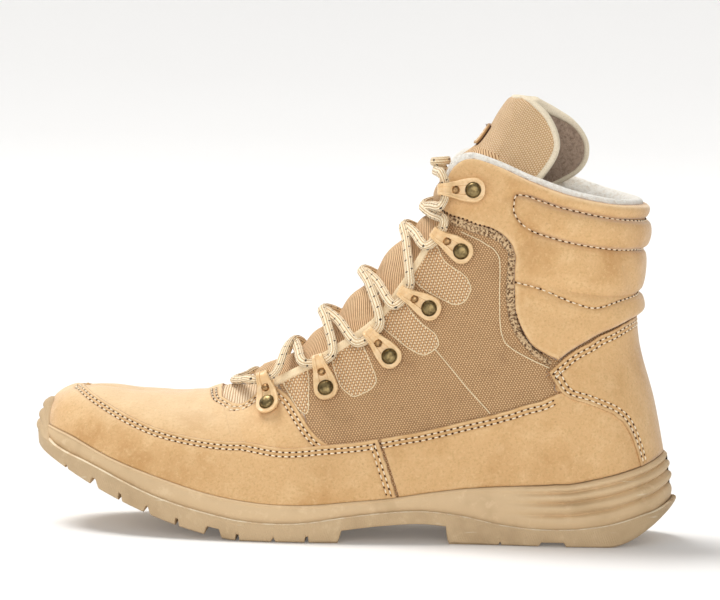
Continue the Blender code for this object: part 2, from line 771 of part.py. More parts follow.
def tongue_row(s):
    """The tongue's row that lies in the throat at sigma s."""
    keys = np.array([row[0] for row in TONGUE_THROAT])
    return np.interp(s, keys, np.arange(len(keys)))


def build_tongue(surface, collection):
    """The padded tongue, with wide wings over the throat."""
    rows = range(len(TONGUE_SECTIONS))
    points = np.array([tongue(row, TONGUE_ACROSS) for row in rows])
    sheet("tongue", points, TONGUE_THICKNESS, surface, collection)


def build_patch(surface, collection):
    """The blank patch on the front of the tongue, under its top."""
    across = np.array([-1.0, -0.5, 0.0, 0.5, 1.0]) * PATCH_HALF_SHARE
    rows = np.linspace(*PATCH_ROWS, 4)
    points = np.array([tongue(row, across) for row in rows])
    ahead = np.gradient(points, axis=0)
    sideways = np.gradient(points, axis=1)
    points = points + unit(np.cross(ahead, sideways)) * (PATCH_THICKNESS + 2 * GAP)
    sheet("tongue_patch", points, PATCH_THICKNESS, surface, collection)


# Sole


def sole_edge(sigma):
    """Points of the sole's widest outline, in plan, with the feather line's height."""
    s = np.abs(sigma)
    return spline(FEATHER_ROWS, sigma)[..., :3] + outward(sigma) * (
        HEEL_WIDTH * spline(FLARE, s)
    )


def sigma_at(share):
    """The sigma at which the sole's outline passes this share of LENGTH."""
    s = np.linspace(0, 1, 2001)
    x = sole_edge(s)[:, 0]
    return float(np.interp((share - 0.5) * LENGTH, x, s))


def with_height(points, height):
    raised_points = points.copy()
    raised_points[..., 2] = height
    return raised_points


def two_sides(s):
    """The signs of the sides and the sigmas of one station on both."""
    return ((1, np.array(float(s))), (-1, np.array(float(-s))))


def build_midsole(surface, collection):
    """The sidewall and platform over the rib line, with the heel's ridges."""
    rings = []
    for s in COLUMNS:
        halves = []
        for _, sigma in two_sides(s):
            out = outward(sigma)
            bottom = sole_edge(sigma) - out * (RIM_WIDTH + SEAM)
            top = spline(FEATHER_ROWS, sigma)[:3] + out * SIDEWALL_LIP
            low = rib(sole_edge(sigma)[0]) + SEAT
            high = top[2] - SEAT
            ridges = ease(s, 0.82, 0.95)
            half = []
            for share, ridge in SIDEWALL:
                point = bottom + (top - bottom) * share + out * ridge * ridges
                point[2] = low + (high - low) * share
                half.append(point)
            halves.append(half)
        rings.append(halves[0] + halves[1][::-1])
    loft("midsole", rings, surface, collection)


def lug_heights(share):
    """Heights of centre lug, groove and side lug over the ground line, at a share of LENGTH."""
    x = (share - 0.5) * LENGTH
    floor = float(ground(np.array(x)))
    ceiling = float(rib(np.array(x))) - ARCH_PLATE
    gap = max(floor, min(floor + LUG_HEIGHT, ceiling))
    lugs = ((-1.0, TOE_LUG_END), *SIDE_LUGS, (HEEL_LUG_START, 2.0))
    on_lug = any(start - 1e-6 <= share <= end + 1e-6 for start, end in lugs)
    arch_start, arch_end = SIDE_LUGS[3][1], SIDE_LUGS[4][0]
    if arch_start + 1e-6 < share < arch_end - 1e-6:
        return ceiling, ceiling, ceiling
    ends = min((share - 0.005) / 0.03, (0.995 - share) / 0.03, 1.0)
    groove = floor + (gap - floor) * max(ends, 0.0)
    lug = floor if on_lug else groove
    return lug, groove, lug


def outsole_shares():
    """The stations of the outsole: each edge of a lug, and a few between them."""
    edges = [TOE_LUG_END, *(end for lug in SIDE_LUGS for end in lug), HEEL_LUG_START]
    shares = [0.145, 0.236, 0.42, 0.45, 0.535, 0.59]
    shares += [0.87, 0.897, 0.92, 0.943, 0.962, 0.978, 0.99]
    for end, start in zip(edges[::2], edges[1::2]):
        shares += [end, end + LUG_DRAFT, start - LUG_DRAFT, start]
    return sorted(shares)


def build_outsole(surface, collection):
    """The tread: lugs, grooves and arch, with a rim that rises into the toe bumper."""
    rings = []
    for s in [*BUMPER_COLUMNS, *(sigma_at(share) for share in outsole_shares()), 1.0]:
        halves = []
        edges = [sole_edge(sigma) for _, sigma in two_sides(s)]
        share = float(edges[0][0]) / LENGTH + 0.5
        centre_z, groove_z, side_z = lug_heights(share)
        rib_z = float(rib(edges[0][:1])[0])
        toes = [edge - outward(sigma) * EDGE_CHAMFER for edge, (_, sigma) in zip(edges, two_sides(s))]
        middle = (toes[0] + toes[1]) / 2
        bumper = 1 - float(ease(s, 0.012, 0.062))
        for edge, toe, (_, sigma) in zip(edges, toes, two_sides(s)):
            out = outward(sigma)
            inner = edge - out * RIM_WIDTH
            rim_z = rib_z + RIM_HEIGHT
            rise = [raised(sigma, np.array(v), np.array(RAND_STEP + BUMPER_GAP)) for v in BUMPER_V]
            ledge = spline(FEATHER_ROWS, sigma)[:3] + out * (SIDEWALL_LIP + 2 * GAP)
            rim = with_height(inner, rim_z)
            wall = [rim + (point - rim) * bumper for point in (ledge, *rise)]
            outer = with_height(edge, rim_z)
            outer = outer + (rise[-1] + out * BUMPER_WIDTH - outer) * bumper
            half = [
                with_height(middle, centre_z),
                with_height(middle + (toe - middle) * CENTRE_LUG, centre_z),
                with_height(middle + (toe - middle) * GROOVE_IN, groove_z),
                with_height(middle + (toe - middle) * GROOVE_OUT, groove_z),
                with_height(middle + (toe - middle) * SIDE_LUG, side_z),
                with_height(toe, side_z),
                with_height(edge, rib_z),
                outer,
                *wall[::-1],
                with_height(inner, rib_z),
            ]
            halves.append(half)
        rings.append(halves[0] + halves[1][:0:-1])
    loft("outsole", rings, surface, collection)


def build_insole(surface, collection):
    """The footbed on the midsole's platform, inside the shell."""
    inset = SHELL_DEPTH + WALL + INSOLE_PLAY
    rings = []
    for s in (0.0, 0.02, 0.05, 0.09, 0.14, 0.2, 0.27, 0.35, 0.43, 0.51, 0.6, 0.7, 0.8, 0.88,
              0.925, 0.945, 0.963, 0.982, 1.0):
        feet = [spline(FEATHER_ROWS, sigma)[:3] - outward(sigma) * inset for _, sigma in two_sides(s)]
        low = feet[0][2] - SEAT + GAP
        half = [[with_height(foot, low), with_height(foot, low + INSOLE_THICKNESS)] for foot in feet]
        rings.append(half[0] + half[1][::-1])
    loft("insole", rings, surface, collection)


# Lace loops and lace


def loop_frame(number, sign):
    """Place of a loop: x from the rivet to the tip, y across, z out of the leather."""
    s, v, tip_s, tip_v, height = LOOPS[number]
    at = raised(np.array(sign * s), np.array(v), np.array(height))
    out = skin_normal(np.array(sign * s), np.array(v))
    to_tip = skin(np.array(sign * tip_s), np.array(tip_v)) - skin(np.array(sign * s), np.array(v))
    along = unit(to_tip - (to_tip @ out) * out)
    across = np.cross(out, along)
    return Matrix([[along[i], across[i], out[i], at[i]] for i in range(3)] + [[0, 0, 0, 1]])


def loop_mesh(surface):
    """A strip folded round the lace: x and z of its middle line, and its width, at each station."""
    top = LOOP_TUNNEL + 1.5 * LOOP_STRIP
    reach = LOOP_LENGTH - LOOP_TUNNEL / 2 - LOOP_STRIP
    fold = (LOOP_TUNNEL + LOOP_STRIP) / 2
    close = 1.5 * LOOP_STRIP + GAP
    path = (
        (-0.30 * LOOP_WIDTH, 0.5 * LOOP_STRIP, 0.75),
        (reach, 0.5 * LOOP_STRIP, 0.62),
        (reach + 0.71 * fold, 0.5 * LOOP_STRIP + 0.29 * fold, 0.56),
        (reach + fold, 0.5 * LOOP_STRIP + fold, 0.54),
        (reach + 0.71 * fold, top - 0.29 * fold, 0.56),
        (reach, top, 0.62),
        (0.42 * LOOP_LENGTH, close + 0.15 * LOOP_STRIP, 0.80),
        (0.0, close, 1.00),
        (-0.40 * LOOP_WIDTH, close, 0.66),
        (-0.50 * LOOP_WIDTH, close, 0.36),
    )
    path = np.array(path)
    direction = unit(np.gradient(path[:, :2], axis=0))
    rings = []
    for (x, z, width), (dx, dz) in zip(path, direction):
        half = width * LOOP_WIDTH / 2
        shift = np.array([-dz, 0, dx]) * LOOP_STRIP / 2
        middle = np.array([x, 0, z])
        side = np.array([0, half, 0])
        rings.append([middle - side - shift, middle + side - shift, middle + side + shift, middle - side + shift])
    rings = np.array(rings)
    count = len(rings)
    closed = np.concatenate([rings, rings[:, :1]], axis=1)
    faces = grid_faces(count, 5)
    faces += [tuple(ring * 5 + j for j in range(4)) for ring in (0, count - 1)]
    mesh = mesh_of("lace_loop", closed.reshape(-1, 3), faces, recalculate=True)
    mesh.materials.append(surface)
    return mesh


def rivet_mesh(surface):
    """A low head that sits on the loop."""
    base = 2 * LOOP_STRIP + 2 * GAP
    profile = ((RIVET_RADIUS, base), (0.7 * RIVET_RADIUS, base + RIVET_HEIGHT))
    sides = 8
    points = [
        (radius * math.cos(math.tau * i / sides), radius * math.sin(math.tau * i / sides), z)
        for radius, z in profile
        for i in range(sides)
    ]
    faces = [(i, (i + 1) % sides, sides + (i + 1) % sides, sides + i) for i in range(sides)]
    faces += [tuple(range(sides))[::-1], tuple(range(sides, 2 * sides))]
    mesh = mesh_of("rivet", points, faces, recalculate=True)
    mesh.materials.append(surface)
    return mesh


def build_loops(plate, brass, collection):
    """Six loops and rivets a side, on shared meshes."""
    loop, rivet = loop_mesh(plate), rivet_mesh(brass)
    for side, sign in (("lateral", 1), ("medial", -1)):
        for number in range(len(LOOPS)):
            for kind, mesh, surface in (("lace_loop", loop, plate), ("rivet", rivet, brass)):
                obj = add_object(f"{kind}_{side}_{number + 1}", mesh, surface, collection)
                obj.matrix_world = loop_frame(number, sign)


def tunnel_exit(number, sign, end):
    """Where the lace leaves a loop's tunnel, and the direction: end 1 is up the throat, -1 down."""
    frame = loop_frame(number, sign)
    side = -sign * end
    x = LOOP_LENGTH - LOOP_TUNNEL / 2 - LOOP_STRIP
    z = LOOP_STRIP + LOOP_TUNNEL / 2
    y = side * (0.31 * LOOP_WIDTH + 3 * GAP)
    out = frame @ Vector((x, y, z))
    beyond = frame @ Vector((x + 0.0012, y + side * 0.004, z + 0.0025))
    return np.array(out), np.array(beyond)


def tube(name, points, radius, surface, collection):
    """A round tube through the points, as a closed mesh object."""
    keys = np.linspace(0, 1, len(points))
    smooth_points = spline(np.column_stack([keys, points]), np.linspace(0, 1, len(points) + 2))
    curve = bpy.data.curves.new(name, "CURVE")
    curve.dimensions = "3D"
    curve.bevel_depth = radius
    curve.bevel_resolution = 1
    curve.use_fill_caps = True
    line = curve.splines.new("POLY")
    line.points.add(len(smooth_points) - 1)
    for knot, point in zip(line.points, smooth_points):
        knot.co = (*point, 1.0)
    guide = bpy.data.objects.new(name + "_guide", curve)
    collection.objects.link(guide)
    graph = bpy.context.evaluated_depsgraph_get()
    mesh = bpy.data.meshes.new_from_object(guide.evaluated_get(graph))
    bpy.data.objects.remove(guide, do_unlink=True)
    build = bmesh.new()
    build.from_mesh(mesh)
    bmesh.ops.remove_doubles(build, verts=build.verts, dist=1e-5)
    bmesh.ops.recalc_face_normals(build, faces=build.faces)
    bmesh.ops.triangulate(build, faces=build.faces)
    build.to_mesh(mesh)
    build.free()
    mesh.shade_smooth()
    mesh.name = name
    mesh.materials.clear()
    return add_object(name, mesh, surface, collection)


def over_tongue(row, height):
    """A point at this height over the tongue's ridge, in this row of the tongue."""
    here = tongue(row, np.array([0.0]))[0]
    ahead = tongue(row + 0.1, np.array([0.0]))[0] - tongue(row - 0.1, np.array([0.0]))[0]
    up = unit(np.array([-ahead[2], 0.0, ahead[0]]))
    return here + up * height


def crossing_points(number, sign):
    """One strand of a crossing, from a loop on one side to the next loop on the other."""
    s, height = CROSSINGS[number]
    start, start_way = tunnel_exit(number, sign, 1)
    end, end_way = tunnel_exit(number + 1, -sign, -1)
    middle = over_tongue(tongue_row(s), height + sign * 0.4 * LACE_RADIUS)
    return over_points(start, start_way, middle, end_way, end)


def over_points(start, start_way, middle, end_way, end):
    """A strand's points from one loop over the middle of the tongue to another loop."""
    bend = np.array([0.55, 0.45, 0.72])
    first = start_way + (middle - start_way) * bend
    second = end_way + (middle - end_way) * bend
    return np.array([start, start_way, first, middle, second, end_way, end])


def build_lace(surface, collection, cutters):
    """The bars at the bottom and the top, and the crossings, each a solid clear of the loops."""
    for name, number, end, row, height in LACE_BARS:
        ends = [tunnel_exit(number, sign, end) for sign in (1, -1)]
        points = over_points(*ends[0], over_tongue(row, height), *ends[1][::-1])
        tube(name, points, LACE_RADIUS, surface, collection)
    for number in range(len(CROSSINGS)):
        name = f"lace_crossing_{number + 1}"
        strand = tube(name, crossing_points(number, 1), LACE_RADIUS, surface, collection)
        other = tube(name + "_under", crossing_points(number, -1), LACE_RADIUS, surface, cutters)
        other.hide_render = True
        other.display_type = "WIRE"
        joined = strand.modifiers.new("Joined", "BOOLEAN")
        joined.operation = "UNION"
        joined.object = other


def stand_on_origin(collection, cutters):
    """Parents all to an empty that brings the middle of the sole's outline over the origin."""
    points = np.array([knot.co for knot in bpy.data.objects["outsole"].data.vertices])
    middle = (points.min(axis=0) + points.max(axis=0)) / 2
    base = bpy.data.objects.new("boot", None)
    for obj in [*collection.objects, *cutters.objects]:
        obj.parent = base
    collection.objects.link(base)
    base.location = (-middle[0], -middle[1], 0.0)


def main():
    clear_scene()
    collection = bpy.data.collections.new("Hiking boot")
    cutters = bpy.data.collections.new("Cutters")
    for made in (collection, cutters):
        bpy.context.scene.collection.children.link(made)
    cutters.hide_render = True
    nubuck = material("nubuck", (0.74, 0.50, 0.25), 0.85)
    textile = material("textile", (0.44, 0.29, 0.16), 0.9)
    rubber = material("rubber", (0.55, 0.45, 0.30), 0.6)
    tread = material("tread_rubber", (0.52, 0.43, 0.29), 0.6)
    fleece = material("fleece", (0.80, 0.75, 0.68), 1.0)
    binding = material("binding", (0.72, 0.55, 0.35), 0.8)
    plate = material("coated_plate", (0.80, 0.62, 0.40), 0.4)
    brass = material("antique_brass", (0.24, 0.20, 0.11), 0.35, 1.0)
    cord = material("lace_cord", (0.80, 0.70, 0.52), 0.9)
    build_outsole(tread, collection)
    build_midsole(rubber, collection)
    build_insole(fleece, collection)
    build_upper(textile, collection)
    build_tongue(textile, collection)
    build_vamp(nubuck, collection)
    build_rand(nubuck, collection)
    build_foxings(nubuck, collection)
    build_counter(nubuck, collection)
    build_cuff(nubuck, collection)
    build_tapes(binding, collection)
    build_patch(nubuck, collection)
    build_loops(plate, brass, collection)
    build_lace(cord, collection, cutters)
    stand_on_origin(collection, cutters)


main()
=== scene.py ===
"""Looks of a left hiking boot in honey nubuck and woven textile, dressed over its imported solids.

The last's skin function gives the outer leather surface from two coordinates. Sigma runs round
the boot: 0 at the toe, 1 at the heel by the lateral side and -1 at the heel by the medial side.
V runs up a section, from 0 at the feather line to 1 at the ridge, throat edge or collar.
All sizes are in metres. The toe points to -X and the lateral side, which the camera sees, to -Y.
"""

import json
import logging
import math
from dataclasses import dataclass, field
from enum import Enum
from functools import cached_property
from typing import Sequence

import bmesh
import bpy
import numpy as np
from mathutils import Matrix, Vector
from mathutils.kdtree import KDTree

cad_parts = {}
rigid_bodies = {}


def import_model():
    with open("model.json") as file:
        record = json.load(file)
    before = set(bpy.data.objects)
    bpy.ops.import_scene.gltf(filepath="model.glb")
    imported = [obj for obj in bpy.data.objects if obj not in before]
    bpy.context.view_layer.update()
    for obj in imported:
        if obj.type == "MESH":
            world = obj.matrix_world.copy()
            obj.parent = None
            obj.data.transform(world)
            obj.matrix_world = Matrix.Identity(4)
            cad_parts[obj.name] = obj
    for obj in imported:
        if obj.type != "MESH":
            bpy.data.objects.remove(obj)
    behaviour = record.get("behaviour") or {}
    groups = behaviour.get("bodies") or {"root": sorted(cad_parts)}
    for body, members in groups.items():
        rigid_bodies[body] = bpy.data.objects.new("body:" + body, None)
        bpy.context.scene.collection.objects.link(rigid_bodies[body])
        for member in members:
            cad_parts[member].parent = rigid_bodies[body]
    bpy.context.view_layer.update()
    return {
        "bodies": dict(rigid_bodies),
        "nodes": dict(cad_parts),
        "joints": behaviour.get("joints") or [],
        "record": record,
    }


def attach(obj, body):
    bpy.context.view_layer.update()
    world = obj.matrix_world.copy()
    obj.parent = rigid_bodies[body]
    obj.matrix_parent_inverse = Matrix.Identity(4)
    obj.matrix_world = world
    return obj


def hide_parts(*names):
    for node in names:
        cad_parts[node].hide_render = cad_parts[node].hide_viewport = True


Array = np.ndarray
Colour = tuple[float, float, float]
LOG = logging.getLogger("boot")

MM = 0.001
# Distances to edges, seams and tabs count up to here
FAR = 0.02
# A crease fades out just before that
CREASE_REACH = 0.0195
# About how many millimetres sigma and v span
SPAN = np.array([300.0, 90.0])
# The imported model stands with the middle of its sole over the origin
SHIFT = np.array([-0.0003244, -0.0010423, 0.0])


# Tables of the last, in the shares that its sizes scale


FEATHER = (
    (0.000, 0.0166, -0.063, 0.063, 0.50),
    (0.050, 0.0270, 0.063, 0.195, 0.53),
    (0.110, 0.0660, 0.189, 0.322, 0.62),
    (0.180, 0.1290, 0.302, 0.405, 0.64),
    (0.260, 0.2120, 0.387, 0.455, 0.69),
    (0.340, 0.2980, 0.437, 0.473, 0.69),
    (0.410, 0.3740, 0.455, 0.448, 0.625),
    (0.470, 0.4370, 0.458, 0.402, 0.625),
    (0.530, 0.5000, 0.462, 0.376, 0.690),
    (0.590, 0.5600, 0.472, 0.374, 0.755),
    (0.640, 0.6130, 0.481, 0.387, 0.845),
    (0.690, 0.6620, 0.490, 0.412, 0.920),
    (0.740, 0.7090, 0.490, 0.433, 0.967),
    (0.790, 0.7480, 0.485, 0.446, 0.993),
    (0.870, 0.8080, 0.474, 0.455, 1.030),
    (0.925, 0.8600, 0.452, 0.444, 1.100),
    (0.945, 0.9050, 0.415, 0.410, 1.220),
    (0.963, 0.9430, 0.322, 0.318, 1.350),
    (0.982, 0.9690, 0.170, 0.168, 1.480),
    (1.000, 0.9778, 0.000, 0.000, 1.540),
)
RIDGE = (
    (0.000, 0.0760, 0.072, 0.590),
    (0.050, 0.1000, 0.063, 0.625),
    (0.110, 0.1290, 0.054, 0.675),
    (0.180, 0.1660, 0.050, 0.728),
    (0.260, 0.2090, 0.045, 0.806),
    (0.340, 0.2560, 0.036, 0.895),
    (0.410, 0.3020, 0.027, 0.985),
)
TOPLINE = (
    (0.410, 0.3020, -0.038, 0.038, 0.000, 0.000),
    (0.470, 0.3540, 0.220, 0.300, 0.018, 0.018),
    (0.530, 0.4140, 0.282, 0.350, 0.098, 0.098),
    (0.590, 0.4700, 0.308, 0.360, 0.192, 0.192),
    (0.640, 0.5250, 0.321, 0.362, 0.304, 0.304),
    (0.690, 0.5650, 0.333, 0.362, 0.451, 0.451),
    (0.740, 0.5990, 0.340, 0.362, 0.603, 0.603),
    (0.790, 0.6280, 0.346, 0.362, 0.750, 0.750),
    (0.825, 0.6260, 0.353, 0.364, 0.862, 0.862),
    (0.850, 0.6390, 0.365, 0.370, 0.960, 0.965),
    (0.870, 0.6610, 0.385, 0.385, 1.000, 1.005),
    (0.900, 0.7090, 0.430, 0.422, 0.972, 0.995),
    (0.925, 0.7650, 0.460, 0.452, 0.909, 0.945),
    (0.945, 0.8240, 0.470, 0.462, 0.857, 0.900),
    (0.963, 0.8810, 0.405, 0.400, 0.827, 0.855),
    (0.982, 0.9220, 0.235, 0.232, 0.820, 0.830),
    (1.000, 0.9347, 0.000, 0.000, 0.821, 0.821),
)
BULGE_V = (0.0, 0.2, 0.45, 0.7, 0.88, 1.0)
BULGE = (
    (0.000, 0.155, 0.240, 0.200, 0.110, 1.00),
    (0.050, 0.160, 0.245, 0.205, 0.115, 1.00),
    (0.110, 0.150, 0.237, 0.200, 0.113, 1.00),
    (0.180, 0.142, 0.223, 0.193, 0.110, 1.00),
    (0.260, 0.132, 0.206, 0.180, 0.100, 1.03),
    (0.340, 0.120, 0.184, 0.156, 0.085, 1.03),
    (0.410, 0.103, 0.160, 0.136, 0.078, 0.98),
    (0.470, 0.090, 0.130, 0.096, 0.045, 0.75),
    (0.530, 0.057, 0.078, 0.060, 0.030, 0.60),
    (0.590, 0.040, 0.045, 0.040, 0.020, 0.70),
    (0.690, 0.016, 0.016, 0.022, 0.016, 1.00),
    (0.790, 0.012, 0.020, 0.035, 0.026, 1.00),
    (0.870, 0.009, 0.010, 0.024, 0.018, 1.00),
    (0.925, 0.005, -0.019, -0.006, 0.000, 1.00),
    (0.945, -0.002, -0.037, -0.024, -0.008, 1.00),
    (0.963, -0.010, -0.050, -0.038, -0.012, 1.00),
    (1.000, -0.020, -0.062, -0.047, -0.015, 1.00),
)
TONGUE_THROAT = (
    (0.392, 0.88, 0.000, 5.0),
    (0.425, 0.87, 0.018, 2.0),
    (0.470, 0.86, 0.045, 0.0),
    (0.530, 0.85, 0.068, 0.0),
    (0.590, 0.84, 0.090, 0.0),
    (0.640, 0.83, 0.117, 0.0),
    (0.690, 0.83, 0.110, 0.0),
    (0.740, 0.83, 0.090, 0.0),
    (0.785, 0.85, 0.068, 0.0),
)
TONGUE_TOP = (
    (-0.42, -0.58, 0.42, -1.20, 0.60, -1.20, 0.355),
    (-0.14, -0.16, 1.00, -0.75, 1.30, -0.75, 0.345),
    (0.20, 0.12, 1.42, -0.30, 2.05, -0.32, 0.330),
    (0.41, 0.41, 1.62, 0.14, 2.20, 0.10, 0.318),
    (0.58, 0.71, 1.47, 0.60, 1.98, 0.50, 0.300),
    (0.73, 0.93, 1.18, 0.90, 1.62, 0.76, 0.262),
    (0.83, 1.00, 1.00, 1.00, 1.24, 0.96, 0.205),
)
RIB = (
    (0.000, 0.75),
    (0.045, 0.75),
    (0.080, 0.95),
    (0.200, 1.00),
    (0.300, 1.05),
    (0.380, 0.85),
    (0.430, 0.92),
    (0.490, 1.27),
    (0.550, 1.55),
    (0.610, 1.68),
    (0.670, 1.44),
    (0.730, 0.98),
    (0.790, 0.78),
    (0.850, 0.86),
    (0.905, 1.19),
    (0.943, 1.60),
    (0.976, 1.95),
    (1.000, 2.40),
)
FLARE = (
    (0.00, 0.062),
    (0.10, 0.052),
    (0.25, 0.046),
    (0.41, 0.044),
    (0.60, 0.040),
    (0.80, 0.046),
    (0.92, 0.066),
    (1.00, 0.092),
)


# Numbers and curves


def hermite(
    start: Array, end: Array, start_slope: Array, end_slope: Array, step: Array, along: Array
) -> Array:
    """Follows a cubic over one step.

    Args:
        start: Value rows at the start of the step.
        end: Value rows at its end.
        start_slope: Slopes at the start.
        end_slope: Slopes at the end.
        step: Length of the step.
        along: Distance from its start.

    Returns:
        The value rows there.
    """
    step = step[..., None]
    t = along[..., None] / step
    return (
        (1 + 2 * t) * (1 - t) ** 2 * start
        + t * (1 - t) ** 2 * step * start_slope
        + t * t * (3 - 2 * t) * end
        + t * t * (t - 1) * step * end_slope
    )


def spline(rows: Sequence, at: Array | float) -> Array:
    """Interpolates a table smoothly over its first column.

    Args:
        rows: Table rows, keys first, in rising order.
        at: Keys to read at, held within the table.

    Returns:
        The other columns, one row for each key.
    """
    rows = np.asarray(rows, float)
    keys, values = rows[:, 0], rows[:, 1:]
    step = np.diff(keys)
    slope = np.diff(values, axis=0) / step[:, None]
    tangent = np.empty_like(values)
    inner = slope[:-1] * step[1:, None] + slope[1:] * step[:-1, None]
    tangent[1:-1] = inner / (step[:-1] + step[1:])[:, None]
    tangent[0], tangent[-1] = slope[0], slope[-1]
    at = np.clip(np.asarray(at, float), keys[0], keys[-1])
    i = np.clip(np.searchsorted(keys, at, side="right") - 1, 0, len(step) - 1)
    return hermite(values[i], values[i + 1], tangent[i], tangent[i + 1], step[i], at - keys[i])


def ease(x: Array | float, low: float, high: float) -> Array:
    """0 below low, 1 above high, with a smooth step between."""
    t = np.clip((np.asarray(x, float) - low) / (high - low), 0, 1)
    return t * t * (3 - 2 * t)


def unit(vectors: Array) -> Array:
    """The vectors at length 1."""
    return vectors / np.maximum(np.linalg.norm(vectors, axis=-1, keepdims=True), 1e-12)


def run_along(points: Array) -> Array:
    """Distance of each point from the first, along the line that they make."""
    return np.concatenate([[0], np.cumsum(np.linalg.norm(np.diff(points, axis=0), axis=1))])


def flowing(points: Sequence, count: int) -> Array:
    """Lays evenly spread points on a smooth curve through the given ones.

    Args:
        points: Points that the curve passes.
        count: Number of points wanted.

    Returns:
        The new points, ends included.
    """
    points = np.asarray(points, float)
    keys = np.concatenate([[0], np.cumsum(np.sqrt(np.linalg.norm(np.diff(points, axis=0), axis=1)))])
    fine = spline(np.column_stack([keys, points]), np.linspace(0, keys[-1], count * 4))
    run = run_along(fine)
    at = np.linspace(0, run[-1], count)
    return np.column_stack([np.interp(at, run, fine[:, k]) for k in range(fine.shape[1])])


def mirrored(values: Array) -> Array:
    """Values from 0 up, with their negatives before them."""
    return np.concatenate([-values[:0:-1], values])


def fill(values: float, like: Array) -> Array:
    """An array of one value in the shape of another."""
    return np.full(np.shape(like), float(values))


class Side(Enum):
    """A side of the boot, with the sign of its sigma."""

    LATERAL = 1
    MEDIAL = -1

    @property
    def word(self) -> str:
        """The side's name in piece and node names."""
        return self.name.lower()


